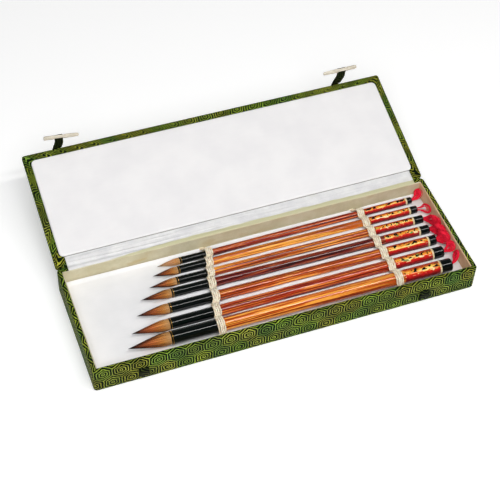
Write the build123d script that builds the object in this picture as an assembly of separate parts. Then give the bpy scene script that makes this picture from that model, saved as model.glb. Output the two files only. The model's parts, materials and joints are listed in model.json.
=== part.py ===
from build123d import *
import os
from math import cos, radians, sin, tan

os.makedirs("parts", exist_ok=True)

# A calligraphy set box. X runs along the box, -Y is its front, +Z is up, and the origin is the
# centre of its underside. The box is sized from what it holds: seven brushes in a row, back to front.

# Brushes, one value each, from the smallest at the back to the largest at the front
LONGEST_BRUSH = 281.0
BRUSH_LENGTHS = [LONGEST_BRUSH - less for less in (48.0, 41.5, 35.0, 24.5, 16.5, 7.0, 0.0)]
HAIR_LENGTHS = [19.7, 21.6, 23.4, 26.0, 27.3, 31.9, 35.4]
FERRULE_LENGTHS = [26.0, 27.5, 29.5, 34.5, 39.5, 40.0, 41.5]
FERRULE_DIAMETERS = [6.2, 6.8, 7.2, 7.8, 8.8, 9.9, 11.6]
SHAFT_DIAMETERS = [5.8, 6.6, 7.0, 7.6, 8.6, 9.6, 11.1]
CAP_LENGTHS = [4.5, 6.5, 8.5, 8.5, 6.5, 9.5, 10.0]
BRUSH_YAWS = [0.4, -0.2, -0.45, -0.9, -0.5, -0.1, -0.5]     # degrees off the box's length

HAIR_FULLNESS = 0.90      # the tuft's widest diameter over its ferrule's
HAIR_ROOT_DEPTH = 8.0     # how far the tuft is glued into the ferrule
SPIGOT_DEPTH = 10.0       # how far the shaft is glued into the ferrule
CAP_SPIGOT_DEPTH = 5.0    # how far the end cap is glued into the shaft
SOCKET_SHARE = 0.62       # bore of a glued joint over the outer diameter there
GLUE_GAP = 0.05

# The row of brushes in the tray
BRUSH_GAP = 5.0           # between neighbouring ferrules
BACK_MARGIN = 5.5         # between the first ferrule and the back lining
FRONT_MARGIN = 6.5        # between the last ferrule and the front lining
TIP_ROOM = 28.7           # between the longest brush's tip and the left lining
END_ROOM = 11.5           # between the end caps and the right lining, for the hanging loops
REST_GAP = 0.3            # under and around what lies on something soft

# Tray
BOARD = 3.2               # wall board
BASE_BOARD = 2.6
CLOTH = 0.5               # brocade
LINING = 0.7
LINING_DROP = 0.2         # the lining's edge below the rim
BOTTOM_PAPER = 0.4
PAPER_INSET = 2.0
CORNER_RADIUS = 3.0
FLOOR_HEIGHT = 11.0       # top of the padded bed
BED_PAD = 2.5
BED_GAP = 0.2             # between the bed and the lining
BED_EDGE_RADIUS = 1.0

# Strings that hold the brushes down on the bed
STRING_WIDTH = 6.5
STRING_THICKNESS = 1.1
STRING_GAP = 0.35
RIGHT_STRING_FROM_CAPS = 49.0
STRING_HEADROOM = 0.65    # between the highest string and the rim

# Lid
LID_THICKNESS = 5.0
LID_GAP = 1.2             # between the rim and the closed lid, where the hinge lining folds
LID_CORNER_RADIUS = 2.0
LID_OPENING = 164.5       # degrees from closed, as it stands open at rest
LID_PAD_PROUD = 1.3
LID_PAD_SIDE = 6.0        # brocade border beside the pad
LID_PAD_FRONT = 6.5
LID_PAD_BACK = 8.7
LID_PAD_RADIUS = 4.0
HINGE_OFFSET = 0.5        # hinge line behind the back wall
LABEL_LENGTH = 113.0
LABEL_WIDTH = 26.0
LABEL_THICKNESS = 0.2
LABEL_FROM_RIGHT = 38.0
LABEL_FROM_FRONT = 17.0

# Cloth hinge
HINGE_CLOTH = 0.35
HINGE_CLOTH_DROP = 6.0    # how far it reaches down the back wall
HINGE_LINING = 0.4
HINGE_LINING_INSET = 3.5  # shorter than the pad at each end

# Straps, toggles and their loops
STRAP_WIDTH = 7.0
STRAP_THICKNESS = 0.7
STRAP_FROM_LEFT = 30.8    # foot of the left strap from the box's left end
STRAP_FROM_RIGHT = 41.2   # foot of the right strap from the box's right end
STRAP_ANCHOR = 10.0       # glued length on the lid
STRAP_REACHES = (16.0, 19.0)    # fold line to the toggle's bar, left and right, as each strap curls
STRAP_SLANTS = (3.0, 5.2)       # how far to the right of its foot each strap ends
STRAP_NECK = 6.0          # straight length inside the toggle's slot
STRAP_FOLD_GAP = 0.5      # fold line in front of the lid's edge
STRAP_BEND = 75.0         # degrees at rest, from straight out of the lid
TOGGLE_HEAD_LENGTH = 9.0
TOGGLE_SLOT = 8.6
TOGGLE_PIN_LENGTH = 13.2
TOGGLE_BAR = 2.6
TOGGLE_BAR_GAP = 0.15     # between the bar and the strap's end loop
TOGGLE_HEAD_HEIGHT = 5.8
TOGGLE_PIN_HEIGHT = 5.2
TOGGLE_TIP_HEIGHT = 3.2
TOGGLE_THICKNESS = 3.4
TOGGLE_BRIDGE = (1.5, 2.8)      # depth and thickness of the bone in front of the strap
TOGGLE_BRIDGE_GAP = 0.3   # between the strap's end loop and the bridge
TOGGLE_EDGE_RADIUS = 0.6
TOGGLE_TURN = 40.5        # degrees at rest, outwards from in line with the strap
TOGGLE_TILTS = (7.0, 0.0)       # degrees at rest, left and right, in the strap's plane
LOOP_FROM_LEFT = 40.5     # middle of the left loop from the box's left end
LOOP_FROM_RIGHT = 47.0
LOOP_WIDTH = 8.5
LOOP_THICKNESS = 0.8
LOOP_PROUD = 2.2
LOOP_HEIGHT = 11.5
LOOP_CENTRE = 9.05        # height of the loops' middle

# Hanging loops of the brushes
LOOP_CORD = 1.4
LOOP_LEANS = [14.0, -54.0, -50.0, -54.0, -60.0, -50.0, 34.0]    # degrees from upright, towards the back
LOOP_RISES = [0.93, 1.0, 1.0, 1.0, 1.0, 0.76, 0.74]             # share of the route's rise along the lean
# A loop's route: out from the cap, up along its lean, and across it
LOOP_ROUTE = [
    (0.0, 0.0, -0.8), (2.6, 0.0, -0.8), (5.2, 1.0, -2.1), (7.6, 3.1, -3.1), (9.4, 6.2, -2.7),
    (10.1, 8.8, -0.4), (9.7, 9.4, 2.9), (7.9, 7.9, 5.0), (6.0, 4.7, 4.8), (5.4, 2.1, 3.0),
    (2.9, 0.0, 0.8), (0.0, 0.0, 0.8),
]

# Sizes that follow
COUNT = len(BRUSH_LENGTHS)
WALL = CLOTH + BOARD + LINING
ROW_DIAMETERS = [max(f, s) for f, s in zip(FERRULE_DIAMETERS, SHAFT_DIAMETERS)]
TRAY_LENGTH = max(BRUSH_LENGTHS) + TIP_ROOM + END_ROOM + 2 * WALL
TRAY_WIDTH = sum(ROW_DIAMETERS) + (COUNT - 1) * BRUSH_GAP + BACK_MARGIN + FRONT_MARGIN + 2 * WALL
TRAY_HEIGHT = (FLOOR_HEIGHT + REST_GAP + max(ROW_DIAMETERS)
               + STRING_GAP + STRING_THICKNESS + STRING_HEADROOM)
BASE_BOTTOM = BOTTOM_PAPER + CLOTH
BASE_TOP = BASE_BOTTOM + BASE_BOARD
BOARD_TOP = TRAY_HEIGHT - CLOTH
HALF_LENGTH, HALF_WIDTH = TRAY_LENGTH / 2, TRAY_WIDTH / 2
CAPS_X = HALF_LENGTH - WALL - END_ROOM
LID_BOTTOM = TRAY_HEIGHT + LID_GAP
LID_TOP = LID_BOTTOM + LID_THICKNESS
HINGE_Y, HINGE_Z = HALF_WIDTH + HINGE_OFFSET, TRAY_HEIGHT + LID_GAP / 2
HINGE = Axis((0, HINGE_Y, HINGE_Z), (1, 0, 0))
FOLD_Y, FOLD_Z = -HALF_WIDTH - STRAP_FOLD_GAP, LID_TOP + STRAP_THICKNESS / 2
FOLD = Axis((0, FOLD_Y, FOLD_Z), (1, 0, 0))
STRAP_FEET = (STRAP_FROM_LEFT - HALF_LENGTH, HALF_LENGTH - STRAP_FROM_RIGHT)
LOOP_PLACES = (LOOP_FROM_LEFT - HALF_LENGTH, HALF_LENGTH - LOOP_FROM_RIGHT)
BAR_RADIUS = TOGGLE_BAR / 2


def save(name, shape):
    shape.label = name
    export_step(shape, f"parts/{name}.step")


def block(length, width, low, high, radius=0.0, at=(0, 0)):
    """A flat-lying block about a point, from one height to another, with round upright corners."""
    solid = Pos(at[0], at[1], (low + high) / 2) * Box(length, width, high - low)
    if radius > 0:
        solid = fillet(solid.edges().filter_by(Axis.Z), radius)
    return solid


def span(x, y, z):
    """The block between two corners, given as pairs along each axis."""
    centre = [(pair[0] + pair[1]) / 2 for pair in (x, y, z)]
    return Pos(*centre) * Box(x[1] - x[0], y[1] - y[0], z[1] - z[0])


def along_x(points_yz, x_low, x_high):
    """A profile drawn in Y and Z, drawn out along X."""
    wire = Polyline(*[(x_low, y, z) for y, z in points_yz], close=True)
    return extrude(make_face(wire), x_high - x_low, dir=(1, 0, 0))


# ---- tray ----

def tray_shell(inset, low, high):
    return block(TRAY_LENGTH - 2 * inset, TRAY_WIDTH - 2 * inset, low, high, CORNER_RADIUS - inset)


def tray_well(inset, low, high):
    return block(TRAY_LENGTH - 2 * inset, TRAY_WIDTH - 2 * inset, low, high)


def make_tray_boards():
    save("bottom_paper", tray_well(PAPER_INSET, 0, BOTTOM_PAPER))
    save("tray_base", tray_shell(CLOTH, BASE_BOTTOM, BASE_TOP))
    walls = tray_shell(CLOTH, BASE_TOP, BOARD_TOP) - tray_well(CLOTH + BOARD, BASE_TOP, BOARD_TOP)
    inner_y = HALF_WIDTH - CLOTH - BOARD
    everything = (-HALF_LENGTH, HALF_LENGTH)
    height = (BASE_TOP, BOARD_TOP)
    save("tray_wall_front", walls & span(everything, (-HALF_WIDTH, -inner_y), height))
    save("tray_wall_back", walls & span(everything, (inner_y, HALF_WIDTH), height))
    save("tray_wall_left", walls & span((-HALF_LENGTH, 0), (-inner_y, inner_y), height))
    save("tray_wall_right", walls & span((0, HALF_LENGTH), (-inner_y, inner_y), height))


def make_tray_cover():
    cover = tray_shell(0, BOTTOM_PAPER, TRAY_HEIGHT)
    cover -= tray_shell(CLOTH, BASE_BOTTOM, BOARD_TOP)
    cover -= tray_well(CLOTH + BOARD, BOARD_TOP, TRAY_HEIGHT)
    save("tray_cover", cover)


def make_tray_inside():
    top = TRAY_HEIGHT - LINING_DROP
    lining = tray_well(CLOTH + BOARD, BASE_TOP, top) - tray_well(WALL, BASE_TOP, top)
    save("tray_lining", lining)
    save("bed_block", tray_well(WALL + BED_GAP, BASE_TOP, FLOOR_HEIGHT - BED_PAD))
    pad = tray_well(WALL + BED_GAP, FLOOR_HEIGHT - BED_PAD, FLOOR_HEIGHT)
    pad = fillet(pad.faces().sort_by(Axis.Z)[-1].edges(), BED_EDGE_RADIUS)
    save("bed_pad", pad)


def make_toggle_loops():
    radius = (LOOP_HEIGHT ** 2 / 4 + LOOP_PROUD ** 2) / (2 * LOOP_PROUD)
    centre_y = -HALF_WIDTH - LOOP_PROUD + radius
    loops = []
    for x in LOOP_PLACES:
        place = Pos(x, centre_y, LOOP_CENTRE) * Rot(0, 90, 0)
        band = place * Cylinder(radius, LOOP_WIDTH) - place * Cylinder(radius - LOOP_THICKNESS, LOOP_WIDTH)
        front = span((x - LOOP_WIDTH, x + LOOP_WIDTH), (-HALF_WIDTH - radius, -HALF_WIDTH),
                     (LOOP_CENTRE - radius, LOOP_CENTRE + radius))
        loops.append(band & front)
    save("toggle_loops", Compound(children=[loop.solid() for loop in loops]))


# ---- brushes ----

def row_places():
    """Each brush's Y at its end cap, from back to front."""
    places = []
    edge = HALF_WIDTH - WALL - BACK_MARGIN
    for diameter in ROW_DIAMETERS:
        places.append(edge - diameter / 2)
        edge -= diameter + BRUSH_GAP
    return places


def axis_height(index):
    return FLOOR_HEIGHT + REST_GAP + ROW_DIAMETERS[index] / 2


def brush_y(index, x):
    return row_places()[index] + (x - CAPS_X) * tan(radians(BRUSH_YAWS[index]))


def place_brush(index, shape):
    """Puts a shape made along X, with the end cap's end at the origin, into its place in the row."""
    return Pos(CAPS_X, row_places()[index], axis_height(index)) * Rot(0, 0, BRUSH_YAWS[index]) * shape


def rod(start, end, diameter):
    return Pos((start + end) / 2, 0, 0) * Rot(0, 90, 0) * Cylinder(diameter / 2, end - start)


def turned(points_and_arcs):
    """A solid of revolution about X from a closed outline of edges in the XY plane."""
    return revolve(make_face(points_and_arcs), Axis.X)


def make_hair(index, ferrule_start):
    length = HAIR_LENGTHS[index]
    radius = HAIR_FULLNESS * FERRULE_DIAMETERS[index] / 2
    root = SOCKET_SHARE * FERRULE_DIAMETERS[index] / 2 - GLUE_GAP
    tip = ferrule_start - length
    outline = [
        ThreePointArc((tip, 0), (tip + 0.5 * length, 0.66 * radius), (ferrule_start, radius)),
        Polyline((ferrule_start, radius), (ferrule_start, root),
                 (ferrule_start + HAIR_ROOT_DEPTH, root), (ferrule_start + HAIR_ROOT_DEPTH, 0), (tip, 0)),
    ]
    return turned(outline)


def make_ferrule(index, start, end):
    outer, shaft = FERRULE_DIAMETERS[index], SHAFT_DIAMETERS[index]
    ferrule = rod(start, end, outer)
    ferrule = fillet(ferrule.edges().filter_by(GeomType.CIRCLE), 0.08 * outer)
    ferrule -= rod(start, start + HAIR_ROOT_DEPTH + GLUE_GAP, SOCKET_SHARE * outer)
    return ferrule - rod(end - SPIGOT_DEPTH - GLUE_GAP, end, SOCKET_SHARE * shaft)


def make_shaft(index, start, end):
    diameter = SHAFT_DIAMETERS[index]
    shaft = rod(start, end, diameter)
    shaft += rod(start - SPIGOT_DEPTH, start, SOCKET_SHARE * diameter - 2 * GLUE_GAP)
    return shaft - rod(end - CAP_SPIGOT_DEPTH - GLUE_GAP, end, SOCKET_SHARE * diameter)


def make_cap(index, start):
    diameter = SHAFT_DIAMETERS[index]
    cap = rod(start, 0, diameter)
    cap = fillet(cap.edges().filter_by(GeomType.CIRCLE).sort_by(Axis.X)[-1], 0.1 * diameter)
    return cap + rod(start - CAP_SPIGOT_DEPTH, start, SOCKET_SHARE * diameter - 2 * GLUE_GAP)


def arc_radii(points):
    """The radius at each corner of a cord's route: as large as its two runs allow."""
    radii = []
    for before, corner, after in zip(points, points[1:], points[2:]):
        arrive, leave = corner - before, after - corner
        half_turn = radians(arrive.get_angle(leave)) / 2
        radii.append(0.45 * min(arrive.length, leave.length) / tan(half_turn))
    return radii


def loop_points(index):
    lean = radians(LOOP_LEANS[index])
    points = []
    for out, up, across in LOOP_ROUTE:
        height = up * LOOP_RISES[index]
        points.append(Vector(out, height * sin(lean) + across * cos(lean),
                             height * cos(lean) - across * sin(lean)))
    return points


def make_hanging_loop(index):
    points = loop_points(index)
    radii = arc_radii(points)
    path = FilletPolyline(*points, radius=radii)
    section = Plane(origin=path @ 0, z_dir=path % 0) * Circle(LOOP_CORD / 2)
    tube = sweep(section, path=path)
    expected = 3.14159 * LOOP_CORD ** 2 / 4 * path.length
    print(f"brush_{index + 1}_loop: length {path.length:.1f}, tightest radius {min(radii):.2f},",
          f"volume over section times length {tube.volume / expected:.3f}")
    return tube


def make_brush(index):
    name = f"brush_{index + 1}"
    cap_start = -CAP_LENGTHS[index]
    ferrule_start = -BRUSH_LENGTHS[index] + HAIR_LENGTHS[index]
    ferrule_end = ferrule_start + FERRULE_LENGTHS[index]
    pieces = {
        "hair": make_hair(index, ferrule_start),
        "ferrule": make_ferrule(index, ferrule_start, ferrule_end),
        "shaft": make_shaft(index, ferrule_end, cap_start),
        "cap": make_cap(index, cap_start),
        "loop": make_hanging_loop(index),
    }
    for piece, shape in pieces.items():
        save(f"{name}_{piece}", place_brush(index, shape))


# ---- strings over the brushes ----

def string_arch(index, x):
    """One string's hoop over one brush, standing on the bed at both sides of it."""
    y, axis = brush_y(index, x), axis_height(index)
    inner = ROW_DIAMETERS[index] / 2 + STRING_GAP
    outer = inner + STRING_THICKNESS
    low = x - STRING_WIDTH / 2

    def at(side, height):
        return (low, y + side, height)

    outline = [
        Line(at(-outer, FLOOR_HEIGHT), at(-outer, axis)),
        ThreePointArc(at(-outer, axis), at(0, axis + outer), at(outer, axis)),
        Polyline(at(outer, axis), at(outer, FLOOR_HEIGHT), at(inner, FLOOR_HEIGHT), at(inner, axis)),
        ThreePointArc(at(inner, axis), at(0, axis + inner), at(-inner, axis)),
        Polyline(at(-inner, axis), at(-inner, FLOOR_HEIGHT), at(-outer, FLOOR_HEIGHT)),
    ]
    arch = extrude(make_face(outline), STRING_WIDTH, dir=(1, 0, 0))
    return arch, y + outer, y - outer


def string_bridge(x, y_front, y_back):
    """The string where it lies on the bed, between two hoops or from a hoop to the wall."""
    return span((x - STRING_WIDTH / 2, x + STRING_WIDTH / 2), (y_front, y_back),
                (FLOOR_HEIGHT, FLOOR_HEIGHT + STRING_THICKNESS))


def make_string(crossings):
    """A string from the back lining to the front one, over each brush at its X in crossings."""
    inside = HALF_WIDTH - WALL
    string = None
    reached, last_x = inside, crossings[0]
    for index, x in enumerate(crossings):
        arch, back, front = string_arch(index, x)
        bridge = string_bridge((x + last_x) / 2, back, reached)
        string = arch + bridge if string is None else string + arch + bridge
        reached, last_x = front, x
    return string + string_bridge(last_x, -inside, reached)


def make_strings():
    ferrule_ends = [
        CAPS_X - BRUSH_LENGTHS[i] + HAIR_LENGTHS[i] + FERRULE_LENGTHS[i] for i in range(COUNT)
    ]
    save("string_left", make_string(ferrule_ends))
    save("string_right", make_string([CAPS_X - RIGHT_STRING_FROM_CAPS] * COUNT))


# ---- lid, made closed and then opened about the hinge ----

def opened(shape):
    return shape.rotate(HINGE, -LID_OPENING)


def make_lid():
    def lid_block(inset, low, high):
        return block(TRAY_LENGTH - 2 * inset, TRAY_WIDTH - 2 * inset, low, high,
                     LID_CORNER_RADIUS - inset)

    pad_length = TRAY_LENGTH - 2 * LID_PAD_SIDE
    pad_width = TRAY_WIDTH - LID_PAD_FRONT - LID_PAD_BACK
    pad_at = (0, (LID_PAD_FRONT - LID_PAD_BACK) / 2)
    board_bottom = LID_BOTTOM + CLOTH
    pad = block(pad_length, pad_width, LID_BOTTOM - LID_PAD_PROUD, board_bottom, LID_PAD_RADIUS, pad_at)
    board = lid_block(CLOTH, board_bottom, LID_TOP - CLOTH)
    save("lid_board", opened(board))
    save("lid_cover", opened(lid_block(0, LID_BOTTOM, LID_TOP) - board - pad))
    save("lid_pad", opened(pad))
    label_at = (HALF_LENGTH - LABEL_FROM_RIGHT - LABEL_LENGTH / 2,
                -HALF_WIDTH + LABEL_FROM_FRONT + LABEL_WIDTH / 2)
    label = block(LABEL_LENGTH, LABEL_WIDTH, LID_TOP, LID_TOP + LABEL_THICKNESS, at=label_at)
    save("lid_label", opened(label))


def hinge_frame():
    """Two points of the open lid's back edge, and its inner face's direction, in Y and Z."""
    angle = radians(LID_OPENING)

    def turn(y, z):
        return Vector(y * cos(angle) + z * sin(angle), z * cos(angle) - y * sin(angle), 0)

    hinge = Vector(HINGE_Y, HINGE_Z, 0)
    inner = hinge + turn(-HINGE_OFFSET, LID_BOTTOM - HINGE_Z)
    outer = hinge + turn(-HINGE_OFFSET, LID_TOP - HINGE_Z)
    return inner, outer, turn(-1, 0)


def make_hinge():
    inner, outer, along = hinge_frame()
    down = (outer - inner).normalized()
    rim = Vector(HALF_WIDTH, TRAY_HEIGHT, 0)
    fold = Vector(HALF_WIDTH + HINGE_CLOTH, TRAY_HEIGHT - HINGE_CLOTH, 0)
    inside_lid = inner + down * HINGE_CLOTH - along * HINGE_CLOTH
    cloth = [
        rim - Vector(0, HINGE_CLOTH_DROP, 0), rim, inner, outer, outer - along * HINGE_CLOTH,
        inside_lid, fold, fold - Vector(0, HINGE_CLOTH_DROP - HINGE_CLOTH, 0),
    ]
    half = HALF_LENGTH - CORNER_RADIUS
    save("hinge_cloth", along_x([(p.X, p.Y) for p in cloth], -half, half))

    face = Vector(-down.X, -down.Y, 0) * HINGE_LINING
    pad_edge = inner + along * LID_PAD_BACK
    wall_edge = rim - Vector(WALL, 0, 0)
    lift = Vector(0, HINGE_LINING, 0)
    lining = [wall_edge, rim, inner, pad_edge, pad_edge + face, inner + face, rim + lift, wall_edge + lift]
    half = HALF_LENGTH - LID_PAD_SIDE - HINGE_LINING_INSET
    save("hinge_lining", along_x([(p.X, p.Y) for p in lining], -half, half))


# ---- straps and toggles, made straight out of the closed lid and then bent ----

def make_strap_anchors():
    anchors = [
        opened(block(STRAP_WIDTH, STRAP_ANCHOR, LID_TOP, LID_TOP + STRAP_THICKNESS,
                     at=(x, -HALF_WIDTH + STRAP_ANCHOR / 2)))
        for x in STRAP_FEET
    ]
    save("strap_anchors", Compound(children=anchors))


def at_bar(side):
    """Where the middle of a toggle's bar lies, and the way that it runs."""
    bar = (STRAP_FEET[side] + STRAP_SLANTS[side], FOLD_Y - STRAP_REACHES[side], FOLD_Z)
    return Pos(*bar) * Rot(0, 0, TOGGLE_TILTS[side])


def make_strap(side):
    """A slanting tab from the fold line to an eye round the toggle's bar."""
    place = at_bar(side)
    hole = BAR_RADIUS + TOGGLE_BAR_GAP
    foot, half, low = STRAP_FEET[side], STRAP_WIDTH / 2, FOLD_Z - STRAP_THICKNESS / 2
    neck = [(place * Pos(x, y, 0)).position
            for x, y in ((half, STRAP_NECK), (half, 0), (-half, 0), (-half, STRAP_NECK))]
    outline = [(foot - half, FOLD_Y, low), (foot + half, FOLD_Y, low)]
    outline += [(point.X, point.Y, low) for point in neck]
    tab = extrude(make_face(Polyline(*outline, close=True)), STRAP_THICKNESS, dir=(0, 0, 1))
    eye = place * Rot(0, 90, 0) * Cylinder(hole + STRAP_THICKNESS, STRAP_WIDTH)
    strap = eye + tab - place * Rot(0, 90, 0) * Cylinder(hole, STRAP_WIDTH)
    return opened(strap.rotate(FOLD, STRAP_BEND))


def toggle_block(outline, thickness=TOGGLE_THICKNESS):
    face = make_face(Polyline(*[(x, y, -thickness / 2) for x, y in outline], close=True))
    solid = extrude(face, thickness, dir=(0, 0, 1))
    return fillet(solid.edges(), TOGGLE_EDGE_RADIUS)


def make_toggle(side):
    """A bone peg on its side: a tall head and a tapered pin with a slot between them for the strap."""
    half_slot = TOGGLE_SLOT / 2
    head_end, tip = -half_slot - TOGGLE_HEAD_LENGTH, half_slot + TOGGLE_PIN_LENGTH
    back = BAR_RADIUS
    front = back - TOGGLE_HEAD_HEIGHT
    head = toggle_block([(head_end, front), (-half_slot, front), (-half_slot, back), (head_end, back)])
    pin = toggle_block([(half_slot, back - TOGGLE_PIN_HEIGHT), (tip, back - TOGGLE_TIP_HEIGHT),
                        (tip, back), (half_slot, back)])
    reach = half_slot + 2 * TOGGLE_EDGE_RADIUS
    bar = rod(-reach, reach, TOGGLE_BAR)
    depth, thickness = TOGGLE_BRIDGE
    inner = -BAR_RADIUS - TOGGLE_BAR_GAP - STRAP_THICKNESS - TOGGLE_BRIDGE_GAP
    bridge = toggle_block([(-reach, inner - depth), (reach, inner - depth), (reach, inner), (-reach, inner)],
                          thickness)
    toggle = head + pin + bar + bridge
    if STRAP_FEET[side] > 0:
        toggle = mirror(toggle, Plane.YZ)
    turned_up = toggle.rotate(Axis.X, TOGGLE_TURN)
    return opened((at_bar(side) * turned_up).rotate(FOLD, STRAP_BEND))


def make_closures():
    make_strap_anchors()
    for side, name in enumerate(("left", "right")):
        save(f"strap_{name}", make_strap(side))
        save(f"toggle_{name}", make_toggle(side))


make_tray_boards()
make_tray_cover()
make_tray_inside()
make_toggle_loops()
make_strings()
for number in range(COUNT):
    make_brush(number)
make_lid()
make_hinge()
make_closures()
print(f"box {TRAY_LENGTH:.2f} x {TRAY_WIDTH:.2f} x {TRAY_HEIGHT:.2f}")
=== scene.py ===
import json
import math
import random

import bmesh
import bpy
from mathutils import Matrix, Vector, noise


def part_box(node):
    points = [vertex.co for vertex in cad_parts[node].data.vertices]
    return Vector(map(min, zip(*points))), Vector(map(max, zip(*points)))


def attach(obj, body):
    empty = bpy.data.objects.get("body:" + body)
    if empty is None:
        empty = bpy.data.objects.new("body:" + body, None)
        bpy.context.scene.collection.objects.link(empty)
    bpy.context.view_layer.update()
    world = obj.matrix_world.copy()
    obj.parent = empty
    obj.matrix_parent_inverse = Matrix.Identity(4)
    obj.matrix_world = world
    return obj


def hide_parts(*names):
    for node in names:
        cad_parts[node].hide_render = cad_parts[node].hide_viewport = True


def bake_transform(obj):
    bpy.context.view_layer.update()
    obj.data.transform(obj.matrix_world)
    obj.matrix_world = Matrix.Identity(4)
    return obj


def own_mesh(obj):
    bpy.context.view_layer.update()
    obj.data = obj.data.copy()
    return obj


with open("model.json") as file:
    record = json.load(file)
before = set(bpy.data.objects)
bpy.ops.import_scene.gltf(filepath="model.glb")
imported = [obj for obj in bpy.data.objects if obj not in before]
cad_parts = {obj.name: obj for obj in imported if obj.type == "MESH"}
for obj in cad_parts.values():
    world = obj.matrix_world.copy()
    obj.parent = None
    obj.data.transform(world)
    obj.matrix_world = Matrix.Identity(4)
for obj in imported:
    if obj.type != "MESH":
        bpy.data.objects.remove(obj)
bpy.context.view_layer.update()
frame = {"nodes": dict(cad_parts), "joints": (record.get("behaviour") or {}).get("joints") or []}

MM = 0.001
BRUSHES = range(1, 8)

# Cloth and board as the box is made
WALL_TO_LINING = 3.7 * MM     # outside of the brocade to the back of the lining
LINING = 0.7 * MM
FRONT_LINING_DROP = 1.5 * MM   # the front lining ends below the rim
CORNER = 3.0 * MM
LID_CORNER = 2.0 * MM
PAD_CORNER = 4.0 * MM
STRAP_WIDTH = 7.0 * MM
BED_SWELL = 2.4 * MM           # the wadding stands up between the back brush and the wall
BED_SWELL_REACH = 4.9 * MM
BED_SWELL_FRONT = 1.8 * MM
STRING_REACH = 12 * MM         # a string presses the bed this far in front of and behind a brush's middle
BED_RIDGE = 0.98               # how far up a brush's middle the wadding stands between two brushes
BED_RIDGE_TUCK = 0.5           # how much of a brush's radius a ridge reaches in under it
EDGE_ROUND = 0.9 * MM          # how softly the brocade turns over the boards' edges
HINGE_STRIP = 14.5 * MM        # how far the white strip runs from the back lining to the lid's pad
BROCADE_CELL = 15.0 * MM
HEX_LINES = 7                  # woven outlines across one hexagon
TURNED_SIDES = 56              # faces round each turned piece of a brush

# Tufts
TUFT_FULLNESS = 1.75          # higher keeps the tuft thick for longer
TUFT_POINT = 1.25             # higher draws its tip out finer

# A toggle, from its slot outwards and from its back to its front
HALF_SLOT = 4.3 * MM
HEAD_LENGTH = 9.0 * MM
PIN_LENGTH = 13.2 * MM
TOGGLE_BACK = 1.3 * MM
HEAD_FRONT = -4.5 * MM
PIN_FRONT = -3.9 * MM
TIP_FRONT = -1.9 * MM
BRIDGE_BACK = -2.5 * MM
HEAD_THICK = 3.4 * MM
BAR_THICK = 2.5 * MM
BRIDGE_THICK = 2.8 * MM
PIN_THICK = 3.5 * MM
TIP_THICK = 3.0 * MM
TOGGLE_SIDES = 28
TOGGLE_TURN = math.radians(40.5)

# Strings and cords
STRING_CORDS = 4
STRING_GAP = 0.35 * MM
STRING_TAIL = 4.5 * MM        # how far to the left a string goes into the back lining
LOOP_CORD = 1.4 * MM
FLOSS_THREADS = [44, 16, 70, 90, 90, 30, 30]
FLOSS_SPREADS = [1.2, 0.7, 2.2, 2.8, 2.8, 1.2, 1.1]             # in millimetres
LOOP_LEANS = [14.0, -54.0, -56.0, -52.0, -30.0, -10.0, 48.0]    # degrees from upright
LOOP_RISES = [0.55, 0.5, 0.9, 0.85, 0.66, 0.6, 0.74]            # shares of the route's height
LOOP_SWEEPS = [-2.5, 3.5, 6.5, 5.0, 2.0, -1.0, -4.0]            # millimetres that an eye hangs to the front
UNDER_LID = 2.6 * MM          # the silk stays this far below the rim, clear of the lid's pad
# A hanging loop's route in millimetres: out from the cap, up along its lean, and across it
LOOP_ROUTE = [
    (0.0, 0.0, -0.8), (2.6, 0.0, -0.8), (5.2, 1.0, -2.1), (7.6, 3.1, -3.1), (9.4, 6.2, -2.7),
    (10.1, 8.8, -0.4), (9.7, 9.4, 2.9), (7.9, 7.9, 5.0), (6.0, 4.7, 4.8), (5.4, 2.1, 3.0),
    (2.9, 0.0, 0.8), (0.0, 0.0, 0.8),
]

# Camera, as an orbit round the box
CAMERA_TARGET = Vector((0.000648, 0.043884, 0.0))
CAMERA_DISTANCE = 1.154462
CAMERA_AZIMUTH = math.radians(-22.18)
CAMERA_ELEVATION = math.radians(49.476)
CAMERA_ROLL = math.radians(2.738)
CAMERA_LENS = 97.03

# Light
TENT_TOP = 0.1                # how bright the light tent is overhead
TENT_HORIZON = 0.95           # and at the level of the horizon
FLOOR_GLOW = 0.28             # what the camera sees of the floor beside what the lamps give it
KEY_POWER, FILL_POWER, TOP_POWER = 7.5, 9.5, 4.2


# ---- where things are ----

def joint(name):
    return next(j for j in frame["joints"] if j["name"] == name)


def turn_about(point, axis, angle):
    there = Matrix.Translation(point)
    return there @ Matrix.Rotation(angle, 4, Vector(axis)) @ there.inverted()


def closed_box(node):
    """A lid node's lowest and highest corners with the lid shut."""
    shut = LID_OPEN.inverted()
    corners = [shut @ v.co for v in frame["nodes"][node].data.vertices]
    return (Vector(min(c[k] for c in corners) for k in range(3)),
            Vector(max(c[k] for c in corners) for k in range(3)))


def brush_place(number):
    """A matrix whose origin is at the end of a brush's cap and whose X runs along the brush, tip to cap."""
    low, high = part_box(f"brush_{number}_cap")
    towards_tip = Vector(joint(f"brush_{number}_slide")["axis"])
    yaw = math.atan2(-towards_tip.y, -towards_tip.x)
    middle = (low + high) / 2
    origin = Vector((high.x, middle.y + (high.x - middle.x) * math.tan(yaw), middle.z))
    return Matrix.Translation(origin) @ Matrix.Rotation(yaw, 4, "Z")


def brush_sizes(number):
    """Stations along a brush, back from the end of its cap, and its radii."""
    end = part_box(f"brush_{number}_cap")[1].x
    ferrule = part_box(f"brush_{number}_ferrule")
    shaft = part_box(f"brush_{number}_shaft")
    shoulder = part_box(f"brush_{number}_cap")[0].x + 5.0 * MM
    return {
        "tip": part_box(f"brush_{number}_hair")[0].x - end,
        "mouth": ferrule[0].x - end,
        "ferrule_end": ferrule[1].x - end,
        "cap": shoulder - end,
        "ferrule_radius": (ferrule[1].z - ferrule[0].z) / 2,
        "shaft_radius": (shaft[1].z - shaft[0].z) / 2,
    }


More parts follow.
